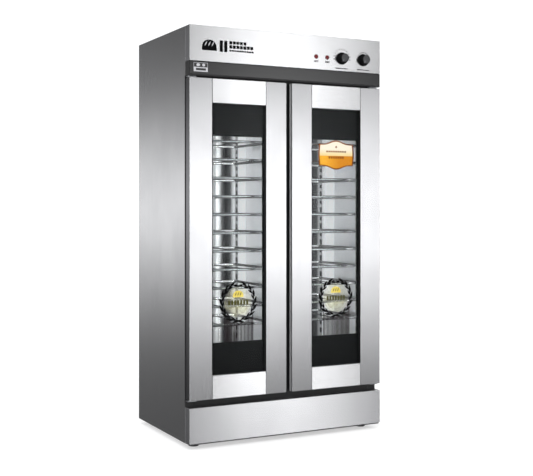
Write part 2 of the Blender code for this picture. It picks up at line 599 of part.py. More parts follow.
def make_door(word, side):
    """A door of two full-height stiles, two rails, a pane in their grooves, and a gasket behind."""
    rear = FRONT_Y + DOOR_THICKNESS
    pivot = add_pivot(f"{word}_door_pivot", (side * HINGE_X, HINGE_Y, DOOR_LOW))
    glass_front = FRONT_Y + GLASS_SETBACK
    glass_back = glass_front + GLASS_THICKNESS
    groove = side_box(f"{word}_glass_groove", side, WINDOW_INNER - GLASS_GROOVE - HOLE_CLEARANCE,
                      WINDOW_OUTER + GLASS_GROOVE + HOLE_CLEARANCE,
                      (glass_front - GAP, WINDOW_LOW - GLASS_GROOVE - HOLE_CLEARANCE),
                      (glass_back + GAP, WINDOW_HIGH + GLASS_GROOVE + HOLE_CLEARANCE), None, cutters)
    hinge_stile = side_box(f"{word}_door_hinge_stile", side, WINDOW_OUTER, HALF_WIDTH,
                           (FRONT_Y, DOOR_LOW), (rear, DOOR_HIGH), BRUSHED_STEEL)
    handle_stile = side_box(f"{word}_door_handle_stile", side, HANDLE_EDGE, WINDOW_INNER,
                            (FRONT_Y, DOOR_LOW), (rear, DOOR_HIGH), BRUSHED_STEEL)
    rails = [side_box(f"{word}_door_{place}_rail", side, WINDOW_INNER + GAP, WINDOW_OUTER - GAP,
                      (FRONT_Y, low), (rear, high), BRUSHED_STEEL)
             for place, low, high in (("bottom", DOOR_LOW, WINDOW_LOW), ("top", WINDOW_HIGH, DOOR_HIGH))]
    for member in (hinge_stile, handle_stile, *rails):
        soften(member, EDGE_BEVEL / 2)
        cut(member, groove)
    for place, low, high in (("lower", DOOR_LOW - CUT_OVERRUN, DOOR_LOW + PIN_LENGTH + HOLE_CLEARANCE),
                             ("upper", DOOR_HIGH - PIN_LENGTH - HOLE_CLEARANCE,
                              DOOR_HIGH + CUT_OVERRUN)):
        hole = add_cylinder(f"{word}_{place}_pin_hole", PIN_RADIUS + HOLE_CLEARANCE, low, high,
                            (side * HINGE_X, HINGE_Y))
        cut(hinge_stile, hole)
    grip_front = FRONT_Y + GRIP_GROOVE_SETBACK
    grip = side_box(f"{word}_grip_groove", side, HANDLE_EDGE - CUT_OVERRUN,
                    HANDLE_EDGE + GRIP_GROOVE_DEPTH, (grip_front, DOOR_LOW - CUT_OVERRUN),
                    (grip_front + GRIP_GROOVE_WIDTH, DOOR_HIGH + CUT_OVERRUN), None, cutters)
    cut(handle_stile, grip)
    pane = side_box(f"{word}_door_glass", side, WINDOW_INNER - GLASS_GROOVE,
                    WINDOW_OUTER + GLASS_GROOVE, (glass_front, WINDOW_LOW - GLASS_GROOVE),
                    (glass_back, WINDOW_HIGH + GLASS_GROOVE), GLASS)
    seal_inner = HANDLE_EDGE + GASKET_EDGE_INSET
    seal_outer = HALF_WIDTH - GASKET_HINGE_INSET
    seal_low = DOOR_LOW + GASKET_EDGE_INSET
    seal_high = DOOR_HIGH - GASKET_EDGE_INSET
    gasket = side_box(f"{word}_door_gasket", side, seal_inner, seal_outer, (rear + GAP, seal_low),
                      (FACE_Y - GAP, seal_high), RUBBER)
    middle = side_box(f"{word}_gasket_middle", side, seal_inner + GASKET_WIDTH,
                      seal_outer - GASKET_WIDTH, (rear - CUT_OVERRUN, seal_low + GASKET_WIDTH),
                      (FACE_Y + CUT_OVERRUN, seal_high - GASKET_WIDTH), None, cutters)
    cut(gasket, middle)
    for piece in (hinge_stile, handle_stile, *rails, pane, gasket):
        hang(piece, pivot)


make_casing()
make_feet()
make_front_frame()
make_chamber()
make_shelves()
make_humidifier()
make_front_covers()
make_controls()
for door_side, door_word in ((-1, "left"), (1, "right")):
    make_hinge(door_word, door_side)
    make_door(door_word, door_side)
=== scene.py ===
import math

import bpy
import numpy as np
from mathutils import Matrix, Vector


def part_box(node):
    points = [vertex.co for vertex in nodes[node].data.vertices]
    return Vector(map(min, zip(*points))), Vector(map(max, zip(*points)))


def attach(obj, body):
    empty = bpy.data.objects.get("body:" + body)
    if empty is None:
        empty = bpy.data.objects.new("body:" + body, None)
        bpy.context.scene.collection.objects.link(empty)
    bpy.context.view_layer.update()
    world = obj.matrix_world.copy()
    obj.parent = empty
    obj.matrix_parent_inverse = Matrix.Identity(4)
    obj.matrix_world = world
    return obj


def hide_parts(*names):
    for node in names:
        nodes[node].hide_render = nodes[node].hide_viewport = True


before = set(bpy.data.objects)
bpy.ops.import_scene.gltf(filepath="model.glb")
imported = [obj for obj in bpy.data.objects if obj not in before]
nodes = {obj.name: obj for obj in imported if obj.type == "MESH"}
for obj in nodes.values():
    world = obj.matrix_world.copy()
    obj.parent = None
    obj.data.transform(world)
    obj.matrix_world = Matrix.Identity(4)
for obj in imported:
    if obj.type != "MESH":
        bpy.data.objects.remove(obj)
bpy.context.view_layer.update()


def span(node):
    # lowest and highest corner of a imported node, as two arrays
    low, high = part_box(node)
    return np.array(low), np.array(high)


fasciaLow = span("control_fascia")[0]
bandLow, bandHigh = span("trim_band")
glassLow, glassHigh = span("right_door_glass")
handleLow, handleHigh = span("right_door_handle_stile")
backLow, backHigh = span("back_panel")
partitionLow, partitionHigh = span("centre_partition")
linerHigh = span("inner_liner")[1]
leftX, frontY = fasciaLow[:2]
# the right door's window, between its stiles and rails, as (x low, x high, z low, z high)
window = (handleHigh[0], span("right_door_hinge_stile")[0][0],
          span("right_door_bottom_rail")[1][2], span("right_door_top_rail")[0][2])


# Shapes are (points, faces) pairs; finishMesh makes one into a piece

def finishMesh(name, points, faces, body, material, slotName, sharp=35):
    # points is an (n, 3) array, faces a list of index lists; the object stays at the origin
    mesh = bpy.data.meshes.new(name)
    mesh.from_pydata(np.asarray(points, float).tolist(), [], faces)
    mesh.validate()
    mesh.shade_smooth()
    mesh.set_sharp_from_angle(angle=math.radians(sharp))
    mesh.materials.append(material)
    piece = bpy.data.objects.new(name, mesh)
    bpy.context.scene.collection.objects.link(piece)
    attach(piece, body)
    return piece


def gridFaces(rows, columns, wrapRows=False, wrapColumns=False):
    # quads between neighbouring points of a rows x columns grid, closed over where it wraps
    r = np.arange(rows if wrapRows else rows - 1)
    c = np.arange(columns if wrapColumns else columns - 1)
    r, c = np.meshgrid(r, c, indexing="ij")
    nextRow = (r + 1) % rows
    nextColumn = (c + 1) % columns
    quads = np.stack([r * columns + c, r * columns + nextColumn,
                      nextRow * columns + nextColumn, nextRow * columns + c], -1)
    return quads.reshape(-1, 4).tolist()


def prism(outline, low, high, axis):
    # a flat outline of (u, v) points carried straight along an axis from low to high, with both ends closed;
    # (u, v) are the other two axes in the order that makes a right-handed set with it
    outline = np.asarray(outline, float)
    u, v = outline[:, 0], outline[:, 1]
    if np.sum(u * np.roll(v, -1) - v * np.roll(u, -1)) < 0:  # twice the area, negative when clockwise
        outline = outline[::-1]
    count = len(outline)
    order = {"x": (1, 2, 0), "y": (2, 0, 1), "z": (0, 1, 2)}[axis]
    points = np.zeros((2, count, 3))
    points[:, :, order[0]] = outline[:, 0]
    points[:, :, order[1]] = outline[:, 1]
    points[0, :, order[2]] = low
    points[1, :, order[2]] = high
    faces = gridFaces(2, count, wrapColumns=True)
    faces += [list(range(count))[::-1], list(range(count, 2 * count))]
    return points.reshape(-1, 3), faces


def frontPlate(outline, y, thickness):
    # an (x, z) outline as a thin plate whose front is at y
    outline = np.asarray(outline, float)[:, ::-1]
    return prism(outline, y, y + thickness, "y")


def joined(shapes):
    # several shapes as one
    points = []
    faces = []
    total = 0
    for shapePoints, shapeFaces in shapes:
        points.append(shapePoints)
        faces += [[index + total for index in face] for face in shapeFaces]
        total += len(shapePoints)
    return np.concatenate(points), faces


def roundedRect(u0, u1, v0, v1, radius, steps=5):
    # corner arcs of a quarter turn each, counter-clockwise from the lower left
    angles = np.linspace(0, math.pi / 2, steps)
    corners = ((u0 + radius, v0 + radius, math.pi), (u1 - radius, v0 + radius, 1.5 * math.pi),
               (u1 - radius, v1 - radius, 0.0), (u0 + radius, v1 - radius, 0.5 * math.pi))
    runs = [np.stack([cu + radius * np.cos(angles + turn), cv + radius * np.sin(angles + turn)], -1)
            for cu, cv, turn in corners]
    return np.concatenate(runs)


def placed(outline, x, z, turn):
    # an outline turned about its zero point by an angle and then moved to (x, z)
    u, v = np.asarray(outline, float).T
    c, s = math.cos(turn), math.sin(turn)
    return np.stack([x + c * u - s * v, z + s * u + c * v], -1)


def ovalPoints(x, z, halfWide, halfHigh, angles, power=1.0):
    # points of an oval at these angles; a power below one fills out the shoulders of its upper half
    return np.stack([x + halfWide * np.cos(angles), z + halfHigh * np.sin(angles) ** power], -1)


def fullTurn(steps):
    # evenly spaced angles round a circle, without the last, which is the first again
    return np.linspace(0, 2 * math.pi, steps, endpoint=False)


def blockRow(left, low, count, pitch, wide, high, radius, y, thickness, steps=5):
    # a row of small plates with round corners
    return [frontPlate(roundedRect(u, u + wide, low, low + high, radius, steps), y, thickness)
            for u in left + pitch * np.arange(count)]


def block(low, high):
    # a plain box as an outline carried along z, for Bevel to round
    outline = np.array([(low[0], low[1]), (high[0], low[1]), (high[0], high[1]), (low[0], high[1])])
    return prism(outline, low[2], high[2], "z")


def inset(box, amount):
    # an (x low, x high, z low, z high) box drawn in on every side
    return np.array(box) + amount * np.array([1, -1, 1, -1])


def framePlate(outer, inner, y, thickness):
    # a plate with a rectangular hole: two closed loops of corners, front and back
    loops = [(u, v) for x0, x1, z0, z1 in (outer, inner) for u, v in ((x0, z0), (x1, z0), (x1, z1), (x0, z1))]
    points = [(u, depth, v) for depth in (y, y + thickness) for u, v in loops]
    faces = []
    for i in range(4):
        j = (i + 1) % 4
        faces += [[i, j, 4 + j, 4 + i], [8 + i, 12 + i, 12 + j, 8 + j],
                  [i, 8 + i, 8 + j, j], [4 + i, 4 + j, 12 + j, 12 + i]]
    return np.array(points), faces


def tube(path, radius, sides=12, closed=False, up=(0, 0, 1)):
    # a circle carried along a path: its plane is set by the path's direction and a fixed up vector
    path = np.asarray(path, float)
    along = np.roll(path, -1, 0) - np.roll(path, 1, 0) if closed else np.gradient(path, axis=0)
    along /= np.linalg.norm(along, axis=1, keepdims=True)
    side = np.cross(along, up)
    side /= np.linalg.norm(side, axis=1, keepdims=True)
    lift = np.cross(side, along)
    angles = fullTurn(sides)
    ring = (np.cos(angles)[None, :, None] * side[:, None] + np.sin(angles)[None, :, None] * lift[:, None])
    points = (path[:, None] + radius * ring).reshape(-1, 3)
    faces = [face[::-1] for face in gridFaces(len(path), sides, wrapRows=closed, wrapColumns=True)]
    if not closed:
        faces += [list(range(sides)), list(range(len(points) - sides, len(points)))[::-1]]
    return points, faces


def turned(profile, centre, axis, steps=48, wobble=None):
    # a profile of (radius, reach) points turned round an axis; reach counts along it from the centre,
    # and wobble(angle, radius, reach) may vary the radius
    profile = np.asarray(profile, float)
    radius = np.repeat(profile[:, :1], steps, 1)
    reach = np.repeat(profile[:, 1:], steps, 1)
    turn = np.repeat(fullTurn(steps)[None], len(profile), 0)
    if wobble is not None:
        radius = wobble(turn, radius, reach)
    across = radius * np.cos(turn)
    upward = radius * np.sin(turn)
    parts = {"front": (across, -reach, upward), "back": (-across, reach, upward), "up": (across, upward, reach)}
    points = np.stack(parts[axis], -1).reshape(-1, 3) + np.asarray(centre, float)
    faces = gridFaces(len(profile), steps, wrapColumns=True)
    faces += [list(range(steps))[::-1], list(range(len(points) - steps, len(points)))]
    return points, faces


def rounded(piece, width, segments=2, weld=False):
    # live Bevel with the same value in view and render
    if weld:
        merge = piece.modifiers.new("merge", "WELD")
        merge.merge_threshold = 0.00001
    bevel = piece.modifiers.new("edge", "BEVEL")
    bevel.width = width
    bevel.segments = segments
    bevel.limit_method = "ANGLE"
    bevel.angle_limit = math.radians(40)
    bevel.harden_normals = not weld


def mirrorX(shape, side):
    # side 1 keeps a shape, side -1 mirrors it across x = 0 and turns its faces over
    points, faces = shape
    if side > 0:
        return points, faces
    return points * np.array([-1, 1, 1]), [face[::-1] for face in faces]


def layUv(piece, name, flat):
    # a UV map from one (u, v) pair for each point
    corner = np.zeros(len(piece.data.loops), np.int32)
    piece.data.loops.foreach_get("vertex_index", corner)
    layer = piece.data.uv_layers.new(name=name)
    layer.data.foreach_set("uv", flat[corner].astype(np.float32).ravel())


# Materials

def hexColour(text):
    # an sRGB hex value as linear red, green, blue and alpha
    values = [int(text[i:i + 2], 16) / 255 for i in (1, 3, 5)]
    linear = [v / 12.92 if v <= 0.04045 else ((v + 0.055) / 1.055) ** 2.4 for v in values]
    return (*linear, 1.0)


def connect(tree, node, inputs):
    # inputs are a dictionary by socket or a tuple in socket order: a socket, or a node's first output, is linked,
    # a hex text becomes a colour, and anything else is set
    for key, value in inputs.items() if isinstance(inputs, dict) else enumerate(inputs):
        if isinstance(value, bpy.types.Node):
            value = value.outputs[0]
        if isinstance(value, bpy.types.NodeSocket):
            tree.links.new(value, node.inputs[key])
        else:
            node.inputs[key].default_value = hexColour(value) if isinstance(value, str) else value


def addNode(tree, kind, inputs=(), **settings):
    # one node with its settings and links
    node = tree.nodes.new(kind)
    for key, value in settings.items():
        setattr(node, key, value)
    connect(tree, node, inputs)
    return node


def newMaterial(name, colour, roughness, metallic=0.0, sockets={}):
    # a Principled material with these values, and its tree and shader for a pattern to be linked to
    material = bpy.data.materials.new(name)
    material.use_nodes = True
    tree = material.node_tree
    shader = tree.nodes["Principled BSDF"]
    connect(tree, shader, {"Base Color": colour, "Roughness": roughness, "Metallic": metallic, **sockets})
    return material, tree, shader


def millimetreNoise(tree, sizes, detail=3.0, offset=0.0):
    # noise on Object coordinates whose features are sizes = (x, y, z) millimetres long
    place = addNode(tree, "ShaderNodeTexCoord")
    mapping = addNode(tree, "ShaderNodeMapping", {"Vector": place.outputs["Object"], "Location": (offset,) * 3,
                                                  "Scale": tuple(1000.0 / size for size in sizes)})
    noise = addNode(tree, "ShaderNodeTexNoise", {"Vector": mapping, "Scale": 1.0, "Detail": detail,
                                                 "Roughness": 0.6})
    return noise.outputs["Fac"]


noiseRange = (0.3, 0.7)  # nearly all of a noise's values lie between these
# sizes in millimetres of the ground lines for each grain, and of the faint handling marks and rolling waves;
# the real lines are finer than 0.1 mm and are drawn as coarse as they need to show
steelLook = {"lines": {"z": (0.6, 0.6, 320.0), "x": (320.0, 0.6, 0.6), "none": (60.0, 60.0, 60.0)},
             "clouds": (260.0, 260.0, 340.0), "lineShare": 0.6, "cloudShare": 0.4, "sideways": (0.5, 0.9),
             "lineGloss": 0.05, "cloudGloss": (-0.012, 0.018), "relief": 0.0002}
skinLook = {"clouds": (70.0, 70.0, 70.0), "gloss": 0.04, "relief": 0.0001}
glassLook = {"wave": (180.0, 180.0, 240.0), "smear": (25.0, 25.0, 60.0), "gloss": (0.01, 0.08), "mirror": 0.22}


def stainless(name, bright, dull, roughness, grain, anisotropy=0.0, bump=0.04, ends=None):
    # Stainless sheet, ground with a belt: fine lines along the grain, highlights drawn out across it.
    # Faces that look sideways, the folded returns, take a darker grey as painted shade: ends is their colour.
    look = steelLook
    material, tree, shader = newMaterial(name, bright, roughness, 1.0)
    lines = millimetreNoise(tree, look["lines"][grain])
    clouds = millimetreNoise(tree, look["clouds"], 2.0, 3.7)
    streaks = addNode(tree, "ShaderNodeMapRange", (lines, *noiseRange, 0.0, look["lineShare"]))
    marks = addNode(tree, "ShaderNodeMapRange", (clouds, *noiseRange, 0.0, look["cloudShare"]))
    shade = addNode(tree, "ShaderNodeMath", (streaks, marks), operation="ADD")
    colour = addNode(tree, "ShaderNodeMix", {0: shade, 6: bright, 7: dull}, data_type="RGBA").outputs[2]
    if ends:
        # painted shade: faces turned along x take the ends colour
        place = addNode(tree, "ShaderNodeTexCoord")
        facing = addNode(tree, "ShaderNodeSeparateXYZ", (place.outputs["Normal"],))
        sideways = addNode(tree, "ShaderNodeMath", (facing,), operation="ABSOLUTE")
        share = addNode(tree, "ShaderNodeMapRange", (sideways, *look["sideways"], 0.0, 1.0))
        colour = addNode(tree, "ShaderNodeMix", {0: share, 6: colour, 7: ends}, data_type="RGBA").outputs[2]
    gloss = addNode(tree, "ShaderNodeMapRange", (lines, *noiseRange, roughness * (1 - look["lineGloss"]),
                                                 roughness * (1 + look["lineGloss"])))
    drift = addNode(tree, "ShaderNodeMapRange", (clouds, *noiseRange, *look["cloudGloss"]))
    rough = addNode(tree, "ShaderNodeMath", (gloss, drift), operation="ADD")
    relief = addNode(tree, "ShaderNodeBump", {"Height": lines, "Strength": bump, "Distance": look["relief"]})
    connect(tree, shader, {"Base Color": colour, "Roughness": rough, "Normal": relief})
    if anisotropy:
        tangent = addNode(tree, "ShaderNodeTangent", direction_type="RADIAL", axis="Z")
        connect(tree, shader, {"Anisotropic": anisotropy, "Anisotropic Rotation": 0.25 if grain == "x" else 0.0,
                               "Tangent": tangent})
    return material


def platedWire():
    # Nickel-chrome plated wire, with a painted highlight down its core and painted shade along its edges, set by the
    # facing angle
    material, tree, shader = newMaterial("nickel_chrome_plated_wire", "#d8d8d9", 0.16, 1.0)
    facing = addNode(tree, "ShaderNodeLayerWeight", {"Blend": 0.5})
    edge = addNode(tree, "ShaderNodeMapRange", (facing.outputs["Facing"], 0.20, 0.60, 0.0, 1.0))
    colour = addNode(tree, "ShaderNodeMix", {0: edge, 6: "#f6f6f7", 7: "#0c0c0d"}, data_type="RGBA").outputs[2]
    spots = millimetreNoise(tree, (3.0, 3.0, 3.0), 4.0)
    gloss = addNode(tree, "ShaderNodeMapRange", (spots, *noiseRange, 0.14, 0.24))
    connect(tree, shader, {"Base Color": colour, "Roughness": gloss})
    return material


def coveSheet():
    # Polished sheet rolled into a cove, with a painted reflection across the roll: its middle is dull grey and its two
    # edges are bright
    material, tree, shader = newMaterial("rolled_stainless_cove", "#8a8a8c", 0.30, 1.0)
    place = addNode(tree, "ShaderNodeUVMap", uv_map="roll")
    parts = addNode(tree, "ShaderNodeSeparateXYZ", (place,))
    away = addNode(tree, "ShaderNodeMath", (parts, 0.5), operation="SUBTRACT")
    distance = addNode(tree, "ShaderNodeMath", (away,), operation="ABSOLUTE")
    edge = addNode(tree, "ShaderNodeMapRange", (distance, 0.12, 0.46), interpolation_type="SMOOTHSTEP")
    colour = addNode(tree, "ShaderNodeMix", {0: edge, 6: "#464648", 7: "#efeff0"}, data_type="RGBA").outputs[2]
    lines = millimetreNoise(tree, (2.0, 2.0, 300.0))
    gloss = addNode(tree, "ShaderNodeMapRange", (lines, *noiseRange, 0.26, 0.36))
    connect(tree, shader, {"Base Color": colour, "Roughness": gloss})
    return material


def speckled(name, main, second, roughness, grainMm, bump, sockets={}):
    # a plastic, paint, ink or rubber skin: two close colours in soft clouds, uneven gloss and a small relief
    look = skinLook
    material, tree, shader = newMaterial(name, main, roughness, 0.0, sockets)
    grain = millimetreNoise(tree, (grainMm,) * 3, 4.0)
    clouds = millimetreNoise(tree, look["clouds"], 2.0, 1.9)
    share = addNode(tree, "ShaderNodeMapRange", (clouds, *noiseRange, 0.0, 1.0))
    colour = addNode(tree, "ShaderNodeMix", {0: share, 6: main, 7: second}, data_type="RGBA").outputs[2]
    gloss = addNode(tree, "ShaderNodeMapRange", (grain, *noiseRange, roughness - look["gloss"],
                                                 roughness + look["gloss"]))
    relief = addNode(tree, "ShaderNodeBump", {"Height": grain, "Strength": bump, "Distance": look["relief"]})
    connect(tree, shader, {"Base Color": colour, "Roughness": gloss, "Normal": relief})
    return material


def labelPaper():
    # Glossy printed paper: cream above, amber below with a darker right half, and a soft change between
    material, tree, shader = newMaterial("printed_gloss_label_paper", "#f6e6c0", 0.26, 0.0,
                                         {"Specular IOR Level": 0.15})
    place = addNode(tree, "ShaderNodeUVMap", uv_map="label")
    parts = addNode(tree, "ShaderNodeSeparateXYZ", (place,))
    u, v = parts.outputs["X"], parts.outputs["Y"]
    upward = addNode(tree, "ShaderNodeMapRange", (v, 0.5, 0.7, 0.0, 1.0))
    cream = addNode(tree, "ShaderNodeMix", {0: upward, 6: "#d6c088", 7: "#dbd3c0"}, data_type="RGBA").outputs[2]
    across = addNode(tree, "ShaderNodeMapRange", (u, 0.15, 0.6, 0.0, 1.0))
    amber = addNode(tree, "ShaderNodeMix", {0: across, 6: "#d89c2a", 7: "#bb7610"}, data_type="RGBA").outputs[2]
    lower = addNode(tree, "ShaderNodeMath", (v, 0.47), operation="LESS_THAN")
    colour = addNode(tree, "ShaderNodeMix", {0: lower, 6: cream, 7: amber}, data_type="RGBA").outputs[2]
    mottle = millimetreNoise(tree, (6.0, 6.0, 6.0))
    gloss = addNode(tree, "ShaderNodeMapRange", (mottle, *noiseRange, 0.22, 0.32))
    connect(tree, shader, {"Base Color": colour, "Roughness": gloss})
    return material


def toughenedGlass():
    # Thin toughened pane: light goes straight through with a faint grey cast, and the surface
    # gives back a weak mirror image that grows at a glancing angle
    material, tree, shader = newMaterial("toughened_float_glass", "#ffffff", 0.03)
    tree.nodes.remove(shader)
    wave = millimetreNoise(tree, glassLook["wave"], 1.0)
    relief = addNode(tree, "ShaderNodeBump", {"Height": wave, "Strength": 0.04, "Distance": 0.001})
    smears = millimetreNoise(tree, glassLook["smear"], 4.0, 5.1)
    gloss = addNode(tree, "ShaderNodeMapRange", (smears, 0.4, 0.8, *glassLook["gloss"]))
    mirror = addNode(tree, "ShaderNodeBsdfGlossy", {"Color": "#eef2f2", "Roughness": gloss, "Normal": relief})
    clear = addNode(tree, "ShaderNodeBsdfTransparent", ("#f6f8f8",))
    facing = addNode(tree, "ShaderNodeFresnel", {"IOR": 1.30})
    share = addNode(tree, "ShaderNodeMath", (facing, glassLook["mirror"]), operation="MULTIPLY")
    mix = addNode(tree, "ShaderNodeMixShader", (share, clear, mirror))
    connect(tree, tree.nodes["Material Output"], {"Surface": mix})
    return material


def sealFilm(name, pale, strong, least, most):
    # Clear vinyl with a patchy pale wash; the shelves show through it
    material, tree, shader = newMaterial(name, "#ffffff", 0.3)
    tree.nodes.remove(shader)
    patches = millimetreNoise(tree, (26.0, 26.0, 20.0), 2.0, 2.3)
    deeper = addNode(tree, "ShaderNodeMapRange", (patches, 0.4, 0.6, 0.0, 1.0))
    colour = addNode(tree, "ShaderNodeMix", {0: deeper, 6: pale, 7: strong}, data_type="RGBA").outputs[2]
    wash = addNode(tree, "ShaderNodeBsdfDiffuse", (colour,))
    clear = addNode(tree, "ShaderNodeBsdfTransparent", ("#fdfdf9",))
    share = addNode(tree, "ShaderNodeMapRange", (patches, 0.35, 0.65, least, most))
    mix = addNode(tree, "ShaderNodeMixShader", (share, clear, wash))
    connect(tree, tree.nodes["Material Output"], {"Surface": mix})
    return material


# Door stiles are ground upright: level highlights spread along them, and their folded sides take a grey as painted
# shade
stileSteel = stainless("belt_ground_stainless_upright_grain", "#d0d0d1", "#cacacc", 0.25, "z", 0.72, 0.01, "#77777a")
# Rails and fascia are ground level, so that upright highlights spread into broad pale bands; their sides take a darker
# grey as painted shade
railSteel = stainless("belt_ground_stainless_level_grain", "#e8e8e9", "#e2e2e3", 0.26, "x", 0.95, 0.004, "#98989b")
# The plinth is the same sheet in a darker grey; its sides take a darker grey still, as painted shade
plinthSteel = stainless("darker_stainless_plinth", "#dadadb", "#cfcfd1", 0.25, "x", 0.95, 0.006, "#8a8a8d")
# Side panels have an upright grain that smears the room into soft stripes
casingSteel = stainless("casing_stainless_upright_grain", "#dededf", "#d4d4d6", 0.25, "z", 0.90, 0.01)
# The top isn't ground on show: an even satin with level lines
topSteel = stainless("level_grain_stainless_top", "#dededf", "#d2d2d4", 0.32, "x", 0.0, 0.02)
# The back keeps its mill finish: greyer and softer, with no clear highlight
backSteel = stainless("mill_finish_stainless_back", "#bfc0c1", "#adaeb0", 0.38, "z", 0.4)
# The liner's cold-rolled finish is a soft satin: it takes light evenly and blurs what it mirrors
linerSteel = stainless("cold_rolled_stainless_liner", "#f5f5f6", "#ebebed", 0.34, "none", 0.0, 0.01)
# Deep-drawn sheet is bright, with a faint waviness from the press
traySteel = stainless("deep_drawn_stainless_tray", "#cfcfcf", "#bdbdbd", 0.24, "none")
# Pierced upright faces are left as punched: a shade darker than the liner
slotSteel = stainless("punched_stainless_slot_strip", "#c2c2c4", "#b0b0b3", 0.40, "z", 0.3, 0.01)
# Zinc plate is a dull, slightly cloudy grey
zincSteel = stainless("zinc_plated_hinge_steel", "#b9bbbd", "#9a9c9f", 0.32, "none")
chromeWire = platedWire()
coveSteel = coveSheet()
# Satin powder coat: nearly black, with a light orange-peel skin
blackCoat = speckled("satin_black_powder_coat", "#161617", "#1c1c1d", 0.42, 1.6, 0.10)
# Zinc-rich primer under the cabinet: flat dark grey
baseCoat = speckled("grey_zinc_rich_primer", "#4c4c4e", "#424244", 0.45, 1.4, 0.08)
# Dark moulded ABS trim: a soft sheen that runs along its length
greyTrim = speckled("dark_grey_abs_trim", "#090909", "#070708", 0.18, 0.9, 0.02, {"Specular IOR Level": 0.8})
# Black ABS with spark-eroded texture: deep black, hardly any highlight
blackAbs = speckled("black_abs_spark_texture", "#050506", "#0a0a0b", 0.48, 0.7, 0.16, {"Specular IOR Level": 0.1})
# The knob's inlaid face is a lighter grey, so that its rings show
knobGrey = speckled("knob_face_ribbed_abs", "#444446", "#3a3a3c", 0.45, 0.6, 0.12)
# Polyamide foot: matt black, a little greasy
footPlastic = speckled("black_polyamide_foot", "#0e0e0f", "#171718", 0.55, 0.9, 0.2)
# Silicone door seal: matt and a little dusty
sealSilicone = speckled("black_silicone_seal", "#121213", "#1d1d1e", 0.70, 1.1, 0.15)
# Ceramic ink fired on the pane: an even flat black behind the glass's own shine
paneInk = speckled("fired_black_pane_print", "#060607", "#09090a", 0.45, 1.2, 0.03, {"Specular IOR Level": 0.15})
# Screen prints on steel and glass: thin, dry ink with next to no shine
inkBlack = speckled("black_screen_print", "#040405", "#0a0a0b", 0.55, 0.5, 0.04, {"Specular IOR Level": 0.05})
inkGrey = speckled("grey_screen_print", "#1e1e20", "#2a2a2c", 0.55, 0.5, 0.04, {"Specular IOR Level": 0.1})
inkWhite = speckled("white_screen_print", "#b4b4b7", "#a2a2a6", 0.55, 0.5, 0.04, {"Specular IOR Level": 0.1})
inkBrown = speckled("dark_brown_screen_print", "#1c1718", "#262021", 0.50, 0.5, 0.04, {"Specular IOR Level": 0.1})
# A milky white strip with painted glow: it glows a little though no lamp is behind it
paintedGlowStrip = speckled("white_strip_with_painted_glow", "#fafafb", "#f0f0f2", 0.35, 2.0, 0.03,
                     {"Emission Color": "#ffffff", "Emission Strength": 0.30})
# Cut vinyl on the panes: opaque, faintly glossy colour
vinylYellow = speckled("yellow_vinyl_film", "#cbb43c", "#d8c868", 0.38, 0.8, 0.04)
vinylOlive = speckled("olive_vinyl_film", "#3a3a1c", "#4a4926", 0.50, 0.8, 0.04, {"Specular IOR Level": 0.1})
clearFilm = sealFilm("clear_vinyl_film", "#f0efe6", "#e6e3c0", 0.02, 0.12)
clearYellow = sealFilm("clear_yellow_vinyl_film", "#e0dfca", "#cfcca2", 0.08, 0.22)
# The label's printed edge, a warm brown that lightens in places
labelBrown = speckled("brown_label_edge", "#5e2c0a", "#8a4812", 0.45, 0.8, 0.04, {"Specular IOR Level": 0.15})
labelPrint = labelPaper()
# Nylon collar: dull brown-red, so that the lens stands out in it
lampCollar = speckled("brown_nylon_lamp_collar", "#4c2422", "#582c2a", 0.45, 0.8, 0.04)
# Moulded acrylic lens, unlit: deep red under a glossy skin
lampRed = speckled("red_acrylic_lens", "#5c1a1e", "#682226", 0.22, 1.0, 0.02, {"Coat Weight": 0.3})
paneGlass = toughenedGlass()


def dress(nodeName, material):
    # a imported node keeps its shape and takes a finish
    for materialSlot in nodes[nodeName].material_slots:
        materialSlot.material = material


def foldedCover(nodeName, material):
    # a copy of a folded cover with its doubles merged and its folds rounded
    piece = bpy.data.objects.new(f"{nodeName}_sheet", nodes[nodeName].data.copy())
    bpy.context.scene.collection.objects.link(piece)
    for materialSlot in piece.material_slots:
        materialSlot.material = material
    rounded(piece, 0.0012, weld=True)
    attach(piece, "cabinet")
    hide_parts(nodeName)


finishes = {"left_side_panel": casingSteel, "right_side_panel": casingSteel, "top_panel": topSteel,
            "back_panel": backSteel, "base_pan": baseCoat, "front_frame": blackCoat, "inner_liner": linerSteel,
            "centre_partition": linerSteel, "trim_band": greyTrim, "control_box": blackAbs,
            "water_tray": traySteel, "heater_element": zincSteel}
for nodeName, finish in finishes.items():
    dress(nodeName, finish)
foldedCover("control_fascia", railSteel)
foldedCover("plinth_panel", plinthSteel)
for doorWord in ("left", "right"):
    dress(f"{doorWord}_door_glass", paneGlass)
    for place in ("upper", "lower"):
        dress(f"{doorWord}_{place}_hinge", zincSteel)
print("finishes on the packed nodes: done")


# Doors: every piece is built on the right-hand door and mirrored for the left one

doorLook = {"edge": 0.0016, "seam": 0.0008, "sideInk": 0.012, "topInk": 0.146, "bottomInk": 0.143,
            "inkLap": 0.006, "inkThick": 0.0002, "beadWidth": 0.003, "beadProud": 0.003, "beadEdge": 0.0008}
gripLook = {"front": 0.007, "rear": 0.023, "depth": 0.008, "slope": 0.002, "lining": 0.0004}
gasketLook = {"inset": 0.006, "half": 0.0055, "corner": 0.010, "cornerSteps": 6, "steps": 24,
              "square": 0.55, "lobes": 0.12}
clearWindow = (window[0] + doorLook["sideInk"], window[1] - doorLook["sideInk"],
               window[2] + doorLook["bottomInk"], window[3] - doorLook["topInk"])


